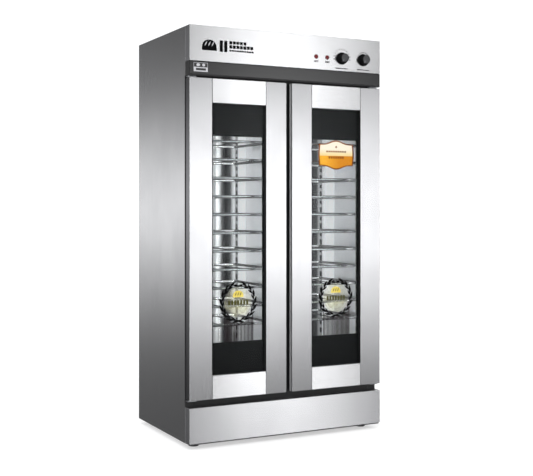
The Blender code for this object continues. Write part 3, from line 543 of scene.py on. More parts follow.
def doorMembers(word, side):
    # stiles and rails as folded sheet with rounded folds; the handle stile has a finger groove down its free edge
    body = f"{word}_door"
    piece = finishMesh(f"{word}_hinge_stile_sheet", *block(*span(f"{word}_door_hinge_stile")), body, stileSteel,
                       "brushed_steel")
    rounded(piece, doorLook["edge"])
    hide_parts(f"{word}_door_hinge_stile")
    seam = np.array([doorLook["seam"], 0.0, 0.0])
    for place in ("top", "bottom"):
        low, high = span(f"{word}_door_{place}_rail")
        piece = finishMesh(f"{word}_{place}_rail_sheet", *block(low + seam, high - seam), body, railSteel,
                           "brushed_steel")
        rounded(piece, doorLook["edge"])
        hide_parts(f"{word}_door_{place}_rail")
    (x0, y0, z0), (x1, y1, z1) = handleLow, handleHigh
    front, rear = y0 + gripLook["front"], y0 + gripLook["rear"]
    floor, slope = x0 + gripLook["depth"], gripLook["slope"]
    outline = [(x0, y0), (x1, y0), (x1, y1), (x0, y1), (x0, rear), (floor, rear - slope), (floor, front + slope),
               (x0, front)]
    piece = finishMesh(f"{word}_handle_stile_sheet", *mirrorX(prism(outline, z0, z1, "z"), side), body, stileSteel,
                       "brushed_steel")
    rounded(piece, doorLook["edge"] * 0.8)
    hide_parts(f"{word}_door_handle_stile")
    lining = block((floor - 0.0002 - gripLook["lining"], front + 0.003, z0 + 0.002),
                   (floor - 0.0002, rear - 0.003, z1 - 0.002))
    finishMesh(f"{word}_grip_lining", *mirrorX(lining, side), body, blackAbs, "black_plastic")


def paneDetails(word, side):
    # the fired print behind the pane's edges, and the glazing bead round the window
    look = doorLook
    shape = framePlate(inset(window, -look["inkLap"]), clearWindow, glassHigh[1] + 0.0001, look["inkThick"])
    finishMesh(f"{word}_pane_print", *mirrorX(shape, side), f"{word}_door", paneInk, "glass")
    shape = framePlate(inset(window, 0.0002), inset(window, look["beadWidth"]), glassLow[1] - look["beadProud"],
                       look["beadProud"] - 0.0002)
    piece = finishMesh(f"{word}_glazing_bead", *mirrorX(shape, side), f"{word}_door", sealSilicone, "rubber")
    rounded(piece, look["beadEdge"])


def doorGasket(word):
    # a bellows profile of three soft lobes carried round the rectangle of the door's rear
    look = gasketLook
    low, high = span(f"{word}_door_gasket")
    ring = look["inset"]
    s = fullTurn(look["steps"])
    across = look["half"] * np.cos(s)
    squared = np.sign(np.sin(s)) * np.abs(np.sin(s)) ** look["square"]
    outward = (high[1] - low[1]) / 2 * squared * (1 - look["lobes"] * np.cos(3 * s) ** 2)
    path = roundedRect(low[0] + ring, high[0] - ring, low[2] + ring, high[2] - ring, look["corner"],
                       look["cornerSteps"])
    along = np.roll(path, -1, 0) - np.roll(path, 1, 0)
    along /= np.linalg.norm(along, axis=1, keepdims=True)
    normal = np.stack([along[:, 1], -along[:, 0]], -1)
    flat = path[:, None] + normal[:, None] * across[None, :, None]
    y = np.repeat(((low[1] + high[1]) / 2 + outward)[None], len(path), 0)
    points = np.stack([flat[..., 0], y, flat[..., 1]], -1).reshape(-1, 3)
    faces = gridFaces(len(path), len(s), wrapRows=True, wrapColumns=True)
    piece = finishMesh(f"{word}_bellows_gasket", points, faces, f"{word}_door", sealSilicone, "rubber")
    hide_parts(f"{word}_door_gasket")


for doorWord, doorSide in (("left", -1), ("right", 1)):
    doorMembers(doorWord, doorSide)
    paneDetails(doorWord, doorSide)
    doorGasket(doorWord)
print("doors: done")


# Prints on the panes; each layer lies a little in front of the one before it

filmY = glassLow[1] - 0.0003
filmThickness = 0.0002
layerStep = 0.0003
# leaf rows are (radius, length, width, lean in radians, start in leaves)
sealLook = {"places": (("left", -0.255), ("right", 0.260)), "centreZ": 0.643,
            "leaves": 8, "outer": (0.0880, 0.0385, 0.0104, 0.27, 0.0), "inner": (0.0760, 0.0300, 0.0082, -0.24, 0.5),
            "foot": -82, "sweep": 164, "ring": 0.0815, "ringHalf": 0.0017, "film": 0.069,
            "loaf": (0.027, 0.030), "loafLift": 0.023, "slashes": (-0.012, 0.0, 0.012), "slashLift": 0.038,
            "blocks": 7, "blockWide": 0.0105, "blockGap": 0.0045, "blockHigh": 0.022, "blockDrop": 0.012,
            "bowl": (0.048, -0.036), "bowlDrop": 0.019}
barLook = {"width": 0.148, "count": 21, "offset": 0.003, "share": 0.60, "growth": 0.16, "clear": 0.094}
labelLook = {"centre": (0.262, 1.322), "size": (0.186, 0.139), "border": (0.013, 0.012), "flank": 0.37,
             "swell": 0.13, "bow": 0.05, "pitch": 0.0125, "wide": 0.0084, "rows": ((0.016, 9, 0.008),
             (-0.012, 7, 0.011)), "star": 0.005, "starLift": 0.038, "sheetThick": 0.00015, "markThick": 0.00012}


def leafOutline(centre, angle, length, width):
    # a pointed oval: half width follows the sine of the way along, drawn in towards the tip
    s = np.linspace(0, 1, 9)
    half = 0.5 * width * np.sin(math.pi * s) ** 0.8 * (1.15 - 0.3 * s)
    u = (s - 0.5) * length
    loop = np.concatenate([np.stack([u, -half], -1), np.stack([u[::-1], half[::-1]], -1)[1:-1]])
    return placed(loop, *centre, angle)


def wreathSeal(word, x):
    # two rows of slender leaves up each side of a ring, from crossed stems at its foot to a gap at its top
    look = sealLook
    z = look["centreZ"]
    shapes = []
    for side in (-1, 1):
        for radius, length, width, lean, start in (look["outer"], look["inner"]):
            for i in range(look["leaves"]):
                turn = math.radians(look["foot"] + look["sweep"] * (i + start) / (look["leaves"] - 0.5))
                centre = (x + side * radius * math.cos(turn), z + radius * math.sin(turn))
                heading = turn + math.pi / 2 - lean
                angle = heading if side > 0 else math.pi - heading
                shapes.append(frontPlate(leafOutline(centre, angle, length, width), filmY, filmThickness))
    arc = np.radians(np.linspace(look["foot"] - 180, look["foot"] + look["sweep"], 73))
    outer, inner = look["ring"] + look["ringHalf"], look["ring"] - look["ringHalf"]
    loop = np.concatenate([ovalPoints(x, z, outer, outer, arc), ovalPoints(x, z, inner, inner, arc[::-1])])
    shapes.append(frontPlate(loop, filmY, filmThickness))
    finishMesh(f"{word}_wreath_print", *joined(shapes), f"{word}_door", inkBlack, "glass")


def loafMark(word, x):
    # inside the wreath: a thin clear film, a loaf with three slashes, a row of blocks and a bowl
    look = sealLook
    z = look["centreZ"]
    body = f"{word}_door"
    disc = ovalPoints(x, z, look["film"], look["film"], fullTurn(48))
    finishMesh(f"{word}_seal_film", *frontPlate(disc, filmY, filmThickness), body, clearFilm, "glass")
    above = filmY - layerStep
    t = np.linspace(0, math.pi, 25)
    loaf = ovalPoints(x, z + look["loafLift"], *look["loaf"], t, 0.7)
    finishMesh(f"{word}_loaf_print", *frontPlate(loaf, above, filmThickness), body, vinylYellow, "glass")
    marks = [frontPlate(leafOutline((x + dx, z + look["slashLift"]), 1.15, 0.020, 0.0045), above - layerStep,
                        filmThickness) for dx in look["slashes"]]
    pitch = look["blockWide"] + look["blockGap"]
    left = x - (look["blocks"] - 1) / 2 * pitch - look["blockWide"] / 2
    marks += blockRow(left, z - look["blockDrop"], look["blocks"], pitch, look["blockWide"], look["blockHigh"],
                      0.0015, above, filmThickness)
    finishMesh(f"{word}_seal_blocks", *joined(marks), body, vinylOlive, "glass")
    bowl = ovalPoints(x, z - look["bowlDrop"], *look["bowl"], t)
    finishMesh(f"{word}_bowl_print", *frontPlate(bowl, above, filmThickness), body, clearYellow, "glass")


def barStrip(word, x):
    # thin upright bars from the printed band up to the wreath's edge; those at the right end are wider
    look = barLook
    pitch = look["width"] / look["count"]
    low = clearWindow[2] - 0.001
    bars = []
    for i in range(look["count"]):
        half = pitch * (look["share"] + look["growth"] * i / look["count"]) / 2
        u = x + look["offset"] - look["width"] / 2 + (i + 0.5) * pitch
        high = sealLook["centreZ"] - math.sqrt(max(0.0, look["clear"] ** 2 - (u - x) ** 2))
        bars.append(frontPlate([(u - half, low), (u + half, low), (u + half, high), (u - half, high)],
                               filmY, filmThickness))
    finishMesh(f"{word}_bar_print", *joined(bars), f"{word}_door", inkBrown, "glass")


def bracketOutline(width, height):
    # a label edge: the top and foot swell in the middle by a cosine bell, and the sides bow slightly
    look = labelLook
    x, z = look["centre"]
    s = np.linspace(-1, 1, 40)
    halfTop = height * (look["flank"] + look["swell"] * (0.5 + 0.5 * np.cos(math.pi * s)) ** 1.6)
    u = width / 2 * s * (1 - 0.03 * (1 - s ** 2))
    lower = np.stack([x + u, z - halfTop], -1)
    upper = np.stack([x + u[::-1], z + halfTop[::-1]], -1)
    sides = np.linspace(-1, 1, 9)[1:-1]
    edge = width / 2 * (1 + look["bow"] * (1 - sides ** 2))
    right = np.stack([x + edge, z + height * look["flank"] * sides], -1)
    left = np.stack([x - edge[::-1], z + height * look["flank"] * sides[::-1]], -1)
    return np.concatenate([lower, right, upper, left])


def paneLabel():
    # a paper label near the top of the right pane, cream over amber in a brown edge, with blank fields
    look = labelLook
    (x, z), (width, height) = look["centre"], look["size"]
    finishMesh("label_edge", *frontPlate(bracketOutline(width, height), filmY, filmThickness), "right_door",
               labelBrown, "glass")
    outline = bracketOutline(width - look["border"][0], height - look["border"][1])
    points, faces = frontPlate(outline, filmY - 0.0002, look["sheetThick"])
    piece = finishMesh("label_sheet", points, faces, "right_door", labelPrint, "glass")
    layUv(piece, "label", np.stack([(points[:, 0] - x) / width + 0.5, (points[:, 2] - z) / height + 0.5], -1))
    marks = []
    for lift, count, high in look["rows"]:
        marks += blockRow(x - (count - 1) / 2 * look["pitch"] - look["wide"] / 2, z + lift - high / 2, count,
                          look["pitch"], look["wide"], high, 0.001, filmY - 0.0004, look["markThick"])
    t = fullTurn(20)
    star = look["star"] * (1 + 0.35 * np.cos(5 * t))
    marks.append(frontPlate(ovalPoints(x, z + look["starLift"], star, star, t), filmY - 0.0004, look["markThick"]))
    finishMesh("label_marks", *joined(marks), "right_door", labelBrown, "glass")


for doorWord, sealX in sealLook["places"]:
    wreathSeal(doorWord, sealX)
    loafMark(doorWord, sealX)
    barStrip(doorWord, sealX)
paneLabel()
print("prints on the panes: done")


# Fascia and band: prints lie on the sheet's front

inkY = frontY - 0.0002
inkThickness = 0.0002
# places from the fascia's left and lower edges; rows are (low, high, length, count)
markLook = {"left": 0.060, "low": 0.0432, "high": 0.1010, "loaf": 0.036, "bars": 0.086, "barPitch": 0.022,
            "barWide": 0.016, "rowsLeft": 0.134, "rowShare": 0.82, "slashes": (-0.017, 0.0, 0.017),
            "rows": ((0.041, 0.055, 0.088, 5), (0.022, 0.037, 0.122, 7), (0.008, 0.016, 0.124, 10))}
plateLook = {"low": (0.021, 0.017), "high": (0.089, 0.057), "edge": 0.0014, "foot": 0.020,
             "ovals": ((0.022, 0.009), (0.048, 0.007)), "ovalLift": 0.030, "ovalHalf": 0.0065}
bandLook = {"lip": 0.0075, "proud": 0.0006, "corner": 0.004}


def fasciaMark():
    # a plain pictogram for a bakery: a bold loaf, two oven bars and three rows of blocks
    look = markLook
    x0 = leftX + look["left"]
    z0 = fasciaLow[2] + look["low"]
    high = look["high"] - look["low"]
    middle = x0 + look["loaf"]
    loaf = ovalPoints(middle, z0 + 0.006, look["loaf"], high - 0.010, np.linspace(0, math.pi, 25), 0.6)
    shapes = [frontPlate(loaf, inkY, inkThickness)]
    shapes += blockRow(x0 + look["bars"], z0 + 0.004, 2, look["barPitch"], look["barWide"], high - 0.007, 0.003,
                       inkY, inkThickness)
    for low, top, length, count in look["rows"]:
        shapes += blockRow(x0 + look["rowsLeft"], z0 + low, count, length / count, length / count * look["rowShare"],
                           top - low, 0.0015, inkY, inkThickness)
    finishMesh("fascia_pictogram", *joined(shapes), "cabinet", inkBlack, "brushed_steel")
    slashes = [frontPlate(leafOutline((middle + dx, z0 + 0.036), 1.1, 0.024, 0.005), inkY - 0.0002, 0.0001)
               for dx in look["slashes"]]
    finishMesh("pictogram_slashes", *joined(slashes), "cabinet", inkWhite, "brushed_steel")


def bandPlate():
    # a small framed plate at the band's left end with two blank ovals and a blank field
    look = plateLook
    corner = np.array([leftX, bandLow[2]])
    (x0, z0), (x1, z1) = corner + look["low"], corner + look["high"]
    y = bandLow[1] - 0.0003
    edge = look["edge"]
    shapes = [framePlate((x0, x1, z0, z1), inset((x0, x1, z0, z1), edge), y, 0.0002),
              framePlate((x0 + edge, x1 - edge, z0 + edge, z0 + look["foot"]),
                         (x0 + 0.011, x1 - 0.009, z0 + 0.0055, z0 + 0.0155), y, 0.0002)]
    shapes += [frontPlate(ovalPoints(x0 + u, z0 + look["ovalLift"], half, look["ovalHalf"], fullTurn(18)), y, 0.0002)
               for u, half in look["ovals"]]
    finishMesh("band_plate_print", *joined(shapes), "cabinet", inkWhite, "grey_trim")


def bandEdges():
    # a black strip along the foot of the band as painted shadow of the gap under it, and a black cap over each end
    lip, proud = bandLook["lip"], bandLook["proud"]
    (x0, y0, z0), (x1, y1, z1) = bandLow, bandHigh
    shapes = [block((x0 - proud, y0 - proud, z0 - 0.0004), (x1 + proud, y0 - 0.0001, z0 + lip))]
    cap = block((x1 + 0.0001, y0, z0), (x1 + proud, y1, z1))
    corner = block((x1 - bandLook["corner"], y0 - proud, z0 + lip + 0.0002), (x1 + proud, y0 - 0.0001, z1 - 0.001))
    shapes += [mirrorX(shape, side) for side in (-1, 1) for shape in (cap, corner)]
    finishMesh("band_edges", *joined(shapes), "cabinet", blackCoat, "grey_trim")


fasciaMark()
bandPlate()
bandEdges()

knobLook = {"grip": 0.80, "ribs": 30, "ribDepth": 0.0007, "ridge": 0.0030, "ridgeDepth": 0.00035,
            "pointer": 232, "pointerFrom": 0.010, "pointerHalf": 0.0007, "steps": 180, "faceSteps": 72}
# angles run anticlockwise from the right; caption bars are (left, width) from the knob's middle
scaleLook = {"ticks": 11, "radius": 0.0440, "half": (0.0036, 0.0021), "first": 186, "sweep": 192,
             "arc": (150, 24), "arcRadius": 0.0352, "swell": (0.0015, 0.0037), "captionDrop": 0.0500,
             "captionHigh": 0.0050, "captions": ((-0.035, 0.030), (-0.002, 0.010), (0.011, 0.016), (0.030, 0.005))}
lampLook = {"steps": 56, "captionLeft": 0.012, "captionDrop": 0.0215, "rowStep": 0.0046, "pitch": 0.0062,
            "wide": 0.0056, "high": 0.0034}


def bar(u0, u1, half):
    # a straight bar outline along u
    return [(u0, -half), (u1, -half), (u1, half), (u0, half)]


def knobPiece(name):
    # a turned knob whose grip radius ripples with a cosine, with ring grooves in its face
    look = knobLook
    low, high = span(name)
    x = (low[0] + high[0]) / 2
    z = (low[2] + high[2]) / 2
    reach = frontY - low[1]
    full = (high[0] - low[0]) / 2
    grip = full * look["grip"]
    centre = (x, frontY, z)

    def rippled(turn, radius, height):
        onGrip = (height > 0.0095) & (height < reach - 0.0012) & (radius > grip - 0.004)
        return radius - onGrip * look["ribDepth"] * (1 + np.cos(look["ribs"] * turn))

    skirt = [(0.003, -0.020), (0.003, 0.0005), (full - 0.001, 0.0005), (full, 0.0015), (full, 0.005),
             (full - 0.0012, 0.0075), (grip + 0.002, 0.0090), (grip + 0.0004, 0.0102)]
    wall = [(grip + 0.0004 - 0.0015 * s, 0.0102 + (reach - 0.0142) * s) for s in np.linspace(0.08, 1, 8)]
    rim = [(grip - 0.0016, reach - 0.0030), (grip - 0.0022, reach - 0.0010), (grip - 0.0030, reach - 0.0001),
           (grip - 0.0038, reach - 0.0004), (grip - 0.0042, reach - 0.0024)]
    piece = finishMesh(f"{name}_body", *turned(skirt + wall + rim, centre, "front", look["steps"], rippled),
                       name, blackAbs, "black_plastic", 28)
    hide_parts(name)
    face = grip - 0.0044
    radii = np.linspace(face, 0.0006, 34)
    groove = look["ridgeDepth"] * np.cos(radii / look["ridge"] * 2 * math.pi)
    profile = np.concatenate([[(face, reach - 0.0012)], np.stack([radii, reach - 0.0006 + groove], -1)])
    finishMesh(f"{name}_face", *turned(profile, centre, "front", look["faceSteps"]), name, knobGrey, "black_plastic")
    outline = placed(bar(look["pointerFrom"], grip - 0.0012, look["pointerHalf"]), x, z,
                     math.radians(look["pointer"]))
    finishMesh(f"{name}_pointer", *frontPlate(outline, frontY - reach, 0.0012), name, inkWhite, "black_plastic")
    return x, z


def knobScales(places):
    # the first knob has a ring of ticks, the second an arc that swells to the right, and each a row of bars
    look = scaleLook
    along, half = look["half"]
    shapes = []
    for i in range(look["ticks"]):
        turn = math.radians(look["first"] - look["sweep"] * i / (look["ticks"] - 1))
        outline = placed(bar(look["radius"] - along, look["radius"] + along, half), *places[0], turn)
        shapes.append(frontPlate(outline, inkY, inkThickness))
    arc = np.linspace(*np.radians(look["arc"]), 33)
    outer = look["arcRadius"] + np.linspace(*look["swell"], 33)
    inner = np.full(33, look["arcRadius"])
    loop = np.concatenate([ovalPoints(*places[1], outer, outer, arc), ovalPoints(*places[1], inner, inner, arc)[::-1]])
    shapes.append(frontPlate(loop, inkY, inkThickness))
    for x, z in places:
        for left, width in look["captions"]:
            shapes += blockRow(x + left, z - look["captionDrop"], 1, 0.0, width, look["captionHigh"], 0.001, inkY,
                               inkThickness)
    finishMesh("knob_scales", *joined(shapes), "cabinet", inkGrey, "brushed_steel")


def lampPiece(name):
    # a domed lens over stepped rings, in a thin collar
    look = lampLook
    low, high = span(name)
    x, z = (low[0] + high[0]) / 2, (low[2] + high[2]) / 2
    centre = (x, frontY, z)
    full = (high[0] - low[0]) / 2
    reach = frontY - low[1]
    rise = np.linspace(0.02, 1, 14) * math.pi / 2
    dome = np.stack([full * 0.97 * np.cos(rise) + 0.0002, 0.0010 + (reach - 0.0010) * np.sin(rise)], -1)
    profile = np.concatenate([[(0.006, -0.0028), (0.006, 0.0004), (full * 0.98, 0.0006)], dome])
    piece = finishMesh(f"{name}_lens", *turned(profile, centre, "front", look["steps"]), "cabinet", lampRed,
                       "red_lens", 60)
    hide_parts(name)
    collar = [(full * 0.990, 0.0003), (full + 0.0019, 0.0004), (full + 0.0016, 0.0012), (full * 1.03, 0.0016),
              (full * 0.985, 0.0010)]
    points = turned(collar, centre, "front", look["steps"])[0]
    finishMesh(f"{name}_collar", points, gridFaces(len(collar), look["steps"], True, True), "cabinet", lampCollar,
               "red_lens")
    shapes = []
    for row in range(2):
        shapes += blockRow(x - look["captionLeft"], z - look["captionDrop"] - look["rowStep"] * row, 4,
                           look["pitch"], look["wide"], look["high"], 0.0008, inkY, inkThickness, 3)
    finishMesh(f"{name}_caption", *joined(shapes), "cabinet", inkGrey, "brushed_steel")


knobScales([knobPiece("temperature_knob"), knobPiece("humidity_knob")])
for lamp in ("heating_lamp", "humidity_lamp"):
    lampPiece(lamp)
print("fascia, knobs and lamps: done")


# Chamber: shelves, pierced uprights with clips, coves and white strips with painted glow

shelfLook = {"count": 11, "rod": 0.0062, "rodSides": 12, "corner": 0.016, "cornerSteps": 7,
             "wires": 2, "wire": 0.0025, "wireSides": 8, "wireInset": 0.0012, "wireLift": 0.0008}
uprightLook = {"width": 0.030, "slotHigh": 0.026, "slotWide": 0.022, "pitch": 0.042, "drop": 0.021,
               "plate": 0.0006, "proud": 0.0009, "margin": 0.004, "darkWide": 0.025, "reach": 0.019,
               "front": 0.110, "rear": 0.470}
# the clip's L, as (out from the wall, up from the rod's underside)
clipLook = {"wide": 0.020, "outline": ((0.0, -0.010), (0.0012, -0.010), (0.0022, -0.0015), (0.0100, -0.0015),
                                       (0.0100, 0.0), (0.0, 0.0))}
coveLook = {"radius": 0.042, "sheet": 0.0008}
coverLook = {"deep": 0.088, "sheet": 0.0007}


def shelfPiece(name):
    # a rod bent round a rectangle with round corners, and lighter wires laid across it front to back
    look = shelfLook
    low, high = span(name)
    rod = look["rod"]
    z = (low[2] + high[2]) / 2
    flat = roundedRect(low[0] + rod, high[0] - rod, low[1] + rod, high[1] - rod, look["corner"], look["cornerSteps"])
    shapes = [tube(np.column_stack([flat, np.full(len(flat), z)]), rod, look["rodSides"], closed=True)]
    for x in np.linspace(low[0], high[0], look["wires"] + 2)[1:-1]:
        line = [(x, y, z + look["wireLift"]) for y in (low[1] + look["wireInset"], high[1] - look["wireInset"])]
        shapes.append(tube(line, look["wire"], look["wireSides"]))
    piece = finishMesh(f"{name}_wire", *joined(shapes), "cabinet", chromeWire, "chromed_wire")
    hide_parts(name)
    return z


def uprightFace(name, x, facing, yMiddle):
    # a pierced strip: a column grid of cells with every slot's cell left out, and a black sheet behind it as painted
    # shade in the slots
    look = uprightLook
    low, high = uprightLow, uprightHigh
    start = shelfHeights[0] - look["drop"] - look["slotHigh"] / 2
    start -= math.floor((start - low) / look["pitch"]) * look["pitch"]
    foot = start + np.arange(int((high - low) / look["pitch"])) * look["pitch"]
    foot = foot[(foot > low + look["margin"]) & (foot + look["slotHigh"] < high - look["margin"])]
    rows = np.concatenate([[low], np.stack([foot, foot + look["slotHigh"]], -1).ravel(), [high]])
    columns = 0.5 * np.array([-look["width"], -look["slotWide"], look["slotWide"], look["width"]])
    grid = np.zeros((2, len(rows), 4, 3))
    for layer, depth in enumerate((look["proud"], look["proud"] - look["plate"])):
        grid[layer, :, :, 0] = x + facing * depth
        grid[layer, :, :, 1] = yMiddle + columns[None]
        grid[layer, :, :, 2] = rows[:, None]
    size = len(rows) * 4
    faces = []
    for r in range(len(rows) - 1):
        for c in range(3):
            quad = [r * 4 + c, r * 4 + c + 1, (r + 1) * 4 + c + 1, (r + 1) * 4 + c]
            if c == 1 and r % 2:  # a slot: its four walls in place of its front and back
                faces += [[quad[j], quad[j] + size, quad[(j + 1) % 4] + size, quad[(j + 1) % 4]] for j in range(4)]
            else:
                faces += [quad, [index + size for index in quad[::-1]]]
        faces += [[r * 4, (r + 1) * 4, (r + 1) * 4 + size, r * 4 + size],
                  [(r + 1) * 4 + 3, r * 4 + 3, r * 4 + 3 + size, (r + 1) * 4 + 3 + size]]
    top = (len(rows) - 1) * 4
    for c in range(3):
        faces += [[c + 1, c, c + size, c + 1 + size], [top + c, top + c + 1, top + c + 1 + size, top + c + size]]
    if facing < 0:
        faces = [face[::-1] for face in faces]
    finishMesh(name, grid.reshape(-1, 3), faces, "cabinet", slotSteel, "polished_steel")
    # painted shade: a black sheet just behind the slots stands for the shade in them
    lowX, highX = sorted((x + facing * 0.0001, x + facing * 0.0002))
    half = look["darkWide"] / 2
    dark = block((lowX, yMiddle - half, low + 0.002), (highX, yMiddle + half, high - 0.002))
    finishMesh(f"{name}_dark", *dark, "cabinet", blackCoat, "polished_steel")


def shelfClips(name, x, facing, yMiddle):
    # a bent tab under each shelf's side rod, an L carried along the wall for the clip's width
    out, up = np.array(clipLook["outline"]).T
    shapes = []
    for z in shelfHeights:
        loop = np.stack([x + facing * (0.0010 + out), z - shelfLook["rod"] - 0.0002 + up], -1)
        shapes.append(frontPlate(loop, yMiddle - clipLook["wide"] / 2, clipLook["wide"]))
    finishMesh(name, *joined(shapes), "cabinet", zincSteel, "polished_steel")


def rearCoves():
    # a radiused strip in each upright rear corner of both compartments, as such chambers have for cleaning:
    # a quarter circle of thin sheet from the back wall, then a flat flange along the side wall
    radius, sheet = coveLook["radius"], coveLook["sheet"]
    backY = linerHigh[1] - 0.0014
    flange = backY - radius - (rearUprightY + uprightLook["width"] / 2 + 0.001)
    t = np.linspace(0, math.pi / 2, 17)
    straight = np.linspace(flange, 0, 8, endpoint=False)
    u = np.concatenate([0 * straight, radius * (1 - np.cos(t))])
    v = np.concatenate([radius + straight, radius * (1 - np.sin(t))])
    outU = np.concatenate([0 * straight + 1, np.cos(t)])
    outV = np.concatenate([0 * straight, np.sin(t)])
    shapes = []
    for wall, facing in ((partitionHigh[0] + 0.0002, 1), (linerHigh[0] - 0.0014, -1)):
        curve = np.stack([wall + facing * u, backY - v], -1)
        inner = np.stack([wall + facing * (u + sheet * outU), backY - v - sheet * outV], -1)
        cove = prism(np.concatenate([curve, inner[::-1]]), uprightLow + 0.001, partitionHigh[2] - 0.002, "z")
        shapes += [mirrorX(cove, side) for side in (-1, 1)]
    points, faces = joined(shapes)
    piece = finishMesh("rear_coves", points, faces, "cabinet", coveSteel, "polished_steel")
    # u is how far a point lies along the sheet, from the flange's front edge to the back wall
    ahead = backY - points[:, 1]
    turn = np.arcsin(np.clip(1 - ahead / radius, 0, 1))
    along = np.where(ahead > radius, flange + radius - ahead, flange + radius * turn)
    layUv(piece, "roll", np.stack([along / (flange + radius * math.pi / 2), points[:, 2]], -1))


def paintedGlowStrips():
    # a flat white strip with painted glow on each compartment wall in front of the rear uprights
    rear = rearUprightY - uprightLook["width"] / 2 - 0.0005
    shapes = []
    for wall, facing in ((partitionHigh[0] + 0.0001, 1), (linerHigh[0] - 0.0013, -1)):
        lowX, highX = sorted((wall, wall + facing * coverLook["sheet"]))
        cover = block((lowX, rear - coverLook["deep"], uprightLow), (highX, rear, uprightHigh))
        shapes += [mirrorX(cover, side) for side in (-1, 1)]
    finishMesh("painted_glow_strips", *joined(shapes), "cabinet", paintedGlowStrip, "glass")


shelfHeights = [shelfPiece(f"left_shelf_{i:02d}") for i in range(1, shelfLook["count"] + 1)]
for i in range(1, shelfLook["count"] + 1):
    shelfPiece(f"right_shelf_{i:02d}")
rearUprightY = frontY + uprightLook["rear"] - uprightLook["width"] / 4
uprightLow = partitionLow[2] + 0.001
uprightHigh = partitionHigh[2] - 0.031
wallX = linerHigh[0] - 0.0012 - uprightLook["reach"]
middleX = partitionHigh[0]
for sideWord, side in (("left", -1), ("right", 1)):
    for placeWord, y in (("front", frontY + uprightLook["front"]), ("rear", rearUprightY)):
        for wallWord, x, facing in (("wall", side * wallX, -side), ("middle", side * middleX, side)):
            uprightFace(f"{sideWord}_{placeWord}_{wallWord}_upright", x, facing, y)
            shelfClips(f"{sideWord}_{placeWord}_{wallWord}_clips", x, facing, y)
rearCoves()
paintedGlowStrips()
print("chamber: done")


# Feet, back, edge trims and small fasteners

footLook = {"top": 0.0216, "threads": 18, "thread": (0.0043, 0.0049), "knurls": 36, "knurlDepth": 0.0004,
            "steps": 108}
# the head's profile as (radius, height)
screwLook = {"head": ((0.0042, -0.0002), (0.0042, 0.0006), (0.0037, 0.0014), (0.0026, 0.0020), (0.0012, 0.0022)),
             "recess": 0.0005, "steps": 16}
backLook = {"wall": 0.012, "inset": 0.014, "ends": 0.04, "sideScrews": 8, "across": 0.30, "acrossScrews": 4,
            "gland": (0.360, 0.140), "flats": 0.0165, "plate": (0.30, 0.36, 0.19, 0.28), "plateThick": 0.0006}
glandProfile = ((0.0142, 0.0002), (0.0175, 0.0005), (0.0175, 0.0070), (0.0150, 0.0085), (0.0145, 0.0132),
                (0.0128, 0.0142), (0.0060, 0.0140), (0.0055, 0.0132), (0.0010, 0.0130))
hingeLook = {"screws": (0.010, 0.024), "plate": 0.004, "back": 0.003}
trimLook = {"lap": 0.007, "sheet": 0.0006}


def footPiece(name):
    # a turned foot: threaded stud, waist, and a pad with a ribbed rim
    look = footLook
    low, high = span(name)
    centre = ((low[0] + high[0]) / 2, (low[1] + high[1]) / 2, 0.0)
    full = (high[0] - low[0]) / 2
    top = look["top"]
    climb = np.linspace(top + 0.001, high[2] - 0.001, look["threads"])
    thread = [(look["thread"][i % 2], z) for i, z in enumerate(climb)]

    def knurled(turn, radius, height):
        onRim = np.abs(radius - full) < 0.0004
        return radius - onRim * look["knurlDepth"] * (1 + np.cos(look["knurls"] * turn))

    profile = [(full * 0.3, 0.0), (full - 0.002, 0.0), (full - 0.0005, 0.0008), (full, 0.0022), (full, 0.0085),
               (full - 0.0012, 0.0100), (full * 0.80, 0.0112), (full * 0.74, 0.0128), (full * 0.72, 0.0205),
               (full * 0.69, top), (0.0052, top)] + thread + [(0.0030, high[2])]
    piece = finishMesh(f"{name}_turned", *turned(profile, centre, "up", look["steps"], knurled), "cabinet",
                       footPlastic, "black_plastic")
    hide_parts(name)


def screwHead(x, y, z, facing):
    # a low pan head with a cross recess hinted by four shallow wedges
    def crossed(turn, radius, height):
        return radius - (height > 0.0019) * screwLook["recess"] * (1 + np.cos(4 * turn))

    return turned(screwLook["head"], (x, y, z), facing, screwLook["steps"], crossed)


def backDetails():
    # screws round the back panel, a six-sided gland nut on its boss, and a blank rating plate
    look = backLook
    y = backHigh[1] - look["wall"]
    heights = np.linspace(backLow[2] + look["ends"], backHigh[2] - look["ends"], look["sideScrews"])
    edges = (backLow[2] + look["inset"], backHigh[2] - look["inset"])
    shapes = [screwHead(sign * (backHigh[0] - look["inset"]), y, z, "back") for sign in (-1, 1) for z in heights]
    shapes += [screwHead(x, y, z, "back") for z in edges
               for x in np.linspace(-look["across"], look["across"], look["acrossScrews"])]
    finishMesh("back_screws", *joined(shapes), "cabinet", zincSteel, "polished_steel")

    def sixSided(turn, radius, height):
        onNut = (height > 0.0004) & (height < 0.0075)
        return np.where(onNut, look["flats"] / np.cos((turn + math.pi / 6) % (math.pi / 3) - math.pi / 6), radius)

    glandX, glandZ = look["gland"]
    finishMesh("cable_gland_nut", *turned(glandProfile, (glandX, y, glandZ), "back", 72, sixSided), "cabinet",
               blackAbs, "black_plastic")
    plate = frontPlate(roundedRect(*look["plate"], 0.004), y + 0.0002, look["plateThick"])
    finishMesh("blank_rating_plate", *plate, "cabinet", traySteel, "polished_steel")


def hingeScrews():
    # two screw heads on each hinge plate
    look = hingeLook
    shapes = []
    for word in ("left", "right"):
        for place in ("upper", "lower"):
            low, high = span(f"{word}_{place}_hinge")
            top = high[2] if place == "upper" else low[2] + look["plate"]
            for dx in look["screws"]:
                x = low[0] + dx if word == "right" else high[0] - dx
                shapes.append(screwHead(x, (low[1] + high[1]) / 2 + look["back"], top, "up"))
    finishMesh("hinge_screws", *joined(shapes), "cabinet", zincSteel, "polished_steel")


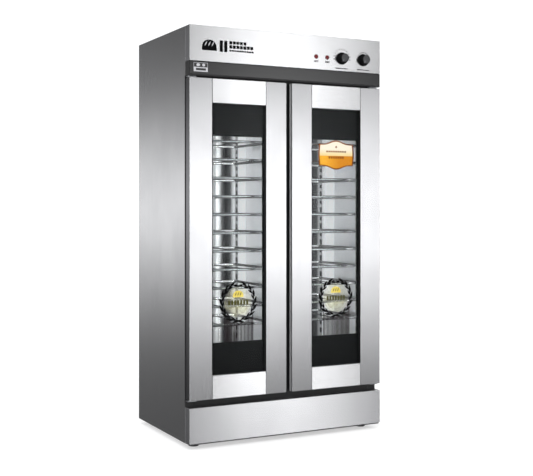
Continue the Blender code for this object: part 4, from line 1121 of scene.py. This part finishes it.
def edgeTrims():
    # a black angle over each side panel's front edge, from the plinth to the fascia: an L carried along z
    lap, sheet = trimLook["lap"], trimLook["sheet"]
    (x0, y0), x1 = span("right_side_panel")[0][:2], span("right_side_panel")[1][0]
    loop = [(x0 + 0.0005, y0 - sheet), (x1 + sheet, y0 - sheet), (x1 + sheet, y0 + lap), (x1 + 0.0001, y0 + lap),
            (x1 + 0.0001, y0 - 0.0001), (x0 + 0.0005, y0 - 0.0001)]
    angle = prism(loop, span("plinth_panel")[1][2] - 0.001, bandLow[2] + 0.002, "z")
    shapes = [mirrorX(angle, side) for side in (-1, 1)]
    finishMesh("edge_trims", *joined(shapes), "cabinet", blackCoat, "black_paint")


edgeTrims()
for foot in ("front_left_foot", "front_right_foot", "rear_left_foot", "rear_right_foot"):
    footPiece(foot)
backDetails()
hingeScrews()
print("feet, back and fasteners: done")


# Floor, light and camera

studio = {
    # what mirrors see: (turn in degrees from straight ahead, positive to the right, spread, height, strength);
    # a larger spread value is a narrower lobe, and the one of no spread is a band round the horizon
    "lobes": ((0.0, 0.0, 0.12, 0.16), (27.7, 330.0, 0.115, 6.4), (24.0, 20.0, 0.125, 0.10),
              (-153.0, 12.0, 0.078, 1.1), (-27.0, 9.0, 0.28, 2.2), (152.0, 6.0, 0.36, 0.62)),
    # (height where it begins, height where it is full, strength) of the ceiling and of the ground
    "glows": ((0.30, 0.75, 0.55), (-0.22, -0.60, 0.38)),
    "base": 0.045, "ambient": 1.16, "tone": (0.985, 0.99, 1.0, 1.0), "floorRadius": 60.0, "floorGlow": 0.52,
    # (place, target, size, power)
    "key": ((-1.5, -3.5, 3.2), (0.0, 0.0, 1.0), (2.0, 1.2), 60.0),
    "stripX": (0.062, 0.437), "stripBack": 0.082, "stripZ": 0.96, "stripSize": (0.022, 1.25), "stripPower": 1.8}
cameraLook = {"lens": 67.2, "shift": -0.058, "left": 1.700, "away": 4.050, "height": 1.074, "turn": -27.2}


def paleFloor():
    # a wide round floor, seen and shaded but left out of mirror reflections, as in a white cove
    rim = ovalPoints(0.0, 0.0, studio["floorRadius"], studio["floorRadius"], fullTurn(96))
    mesh = bpy.data.meshes.new("floor")
    mesh.from_pydata(np.column_stack([rim, np.full(96, -0.0005)]).tolist(), [], [list(range(96))])
    floor = bpy.data.objects.new("floor", mesh)
    bpy.context.scene.collection.objects.link(floor)
    # Lit from within like a light table, so that contact shadows stay soft and pale
    material = newMaterial("opal_light_table", "#c6c6c6", 0.9, 0.0,
                           {"Specular IOR Level": 0.0, "Emission Color": "#ffffff",
                            "Emission Strength": studio["floorGlow"]})[0]
    mesh.materials.append(material)
    floor.visible_glossy = False


def studioWorld():
    # mirrors see a level band of light with brighter lobes in it, between a soft ceiling and a pale ground;
    # all other light is one even white
    world = bpy.data.worlds.new("studio")
    bpy.context.scene.world = world
    world.use_nodes = True
    tree = world.node_tree
    tree.nodes.clear()
    direction = addNode(tree, "ShaderNodeTexCoord").outputs["Generated"]
    height = addNode(tree, "ShaderNodeSeparateXYZ", (direction,)).outputs["Z"]
    squared = addNode(tree, "ShaderNodeMath", (height, height), operation="MULTIPLY")
    level = addNode(tree, "ShaderNodeVectorMath", (direction, (1.0, 1.0, 0.0)), operation="MULTIPLY")
    flat = addNode(tree, "ShaderNodeVectorMath", (level,), operation="NORMALIZE")
    total = studio["base"]
    for turn, spread, tall, strength in studio["lobes"]:
        # strength * exp(spread * (cosine of the flat angle to the lobe - 1) - (height / tall) squared)
        aim = (math.sin(math.radians(turn)), -math.cos(math.radians(turn)), 0.0)
        cosine = addNode(tree, "ShaderNodeVectorMath", (flat, aim), operation="DOT_PRODUCT").outputs["Value"]
        near = addNode(tree, "ShaderNodeMath", (cosine, spread, -spread), operation="MULTIPLY_ADD")
        power = addNode(tree, "ShaderNodeMath", (squared, -1 / tall ** 2, near), operation="MULTIPLY_ADD")
        bell = addNode(tree, "ShaderNodeMath", (power,), operation="EXPONENT")
        total = addNode(tree, "ShaderNodeMath", (bell, strength, total), operation="MULTIPLY_ADD")
    for begin, end, strength in studio["glows"]:
        glow = addNode(tree, "ShaderNodeMapRange", (height, begin, end, 0.0, strength))
        total = addNode(tree, "ShaderNodeMath", (total, glow), operation="ADD")
    glossy = addNode(tree, "ShaderNodeLightPath").outputs["Is Glossy Ray"]
    light = addNode(tree, "ShaderNodeMix", {0: glossy, 2: studio["ambient"], 3: total})
    background = addNode(tree, "ShaderNodeBackground", (studio["tone"], light))
    addNode(tree, "ShaderNodeOutputWorld", {"Surface": background})


def softLamp(name, place, target, size, power):
    # a rectangular area lamp turned to face its target
    light = bpy.data.lights.new(name, "AREA")
    light.shape = "RECTANGLE"
    light.size, light.size_y = size
    light.energy = power
    lamp = bpy.data.objects.new(name, light)
    bpy.context.scene.collection.objects.link(lamp)
    aim = np.array(target, float) - np.array(place, float)
    lamp.location = place
    lamp.rotation_euler = (math.acos(-aim[2] / np.linalg.norm(aim)), 0.0, math.atan2(-aim[0], aim[1]))
    return lamp


def chamberStrips():
    # upright strips of light just behind the face frame, hidden by the stiles, that fill the chamber
    for side in (-1, 1):
        for x in studio["stripX"]:
            strip = softLamp("chamber_strip", (side * x, frontY + studio["stripBack"], studio["stripZ"]),
                             (side * x, 0.3, studio["stripZ"]), studio["stripSize"], studio["stripPower"])
            strip.visible_camera = False


def levelCamera():
    # level lens at chest height, to the left of the front; only the vertical shift frames the cabinet
    look = cameraLook
    data = bpy.data.cameras.new("camera")
    data.lens = look["lens"]
    data.sensor_width = 36.0
    data.shift_y = look["shift"]
    data.clip_end = 200
    camera = bpy.data.objects.new("camera", data)
    bpy.context.scene.collection.objects.link(camera)
    camera.location = (leftX - look["left"], frontY - look["away"], look["height"])
    camera.rotation_euler = (math.pi / 2, 0, math.radians(look["turn"]))
    bpy.context.scene.camera = camera


paleFloor()
studioWorld()
chamberStrips()
keyLamp = softLamp("key", *studio["key"])
keyLamp.visible_glossy = False
levelCamera()
bpy.context.scene.view_settings.view_transform = "Standard"
print("floor, light and camera: done")
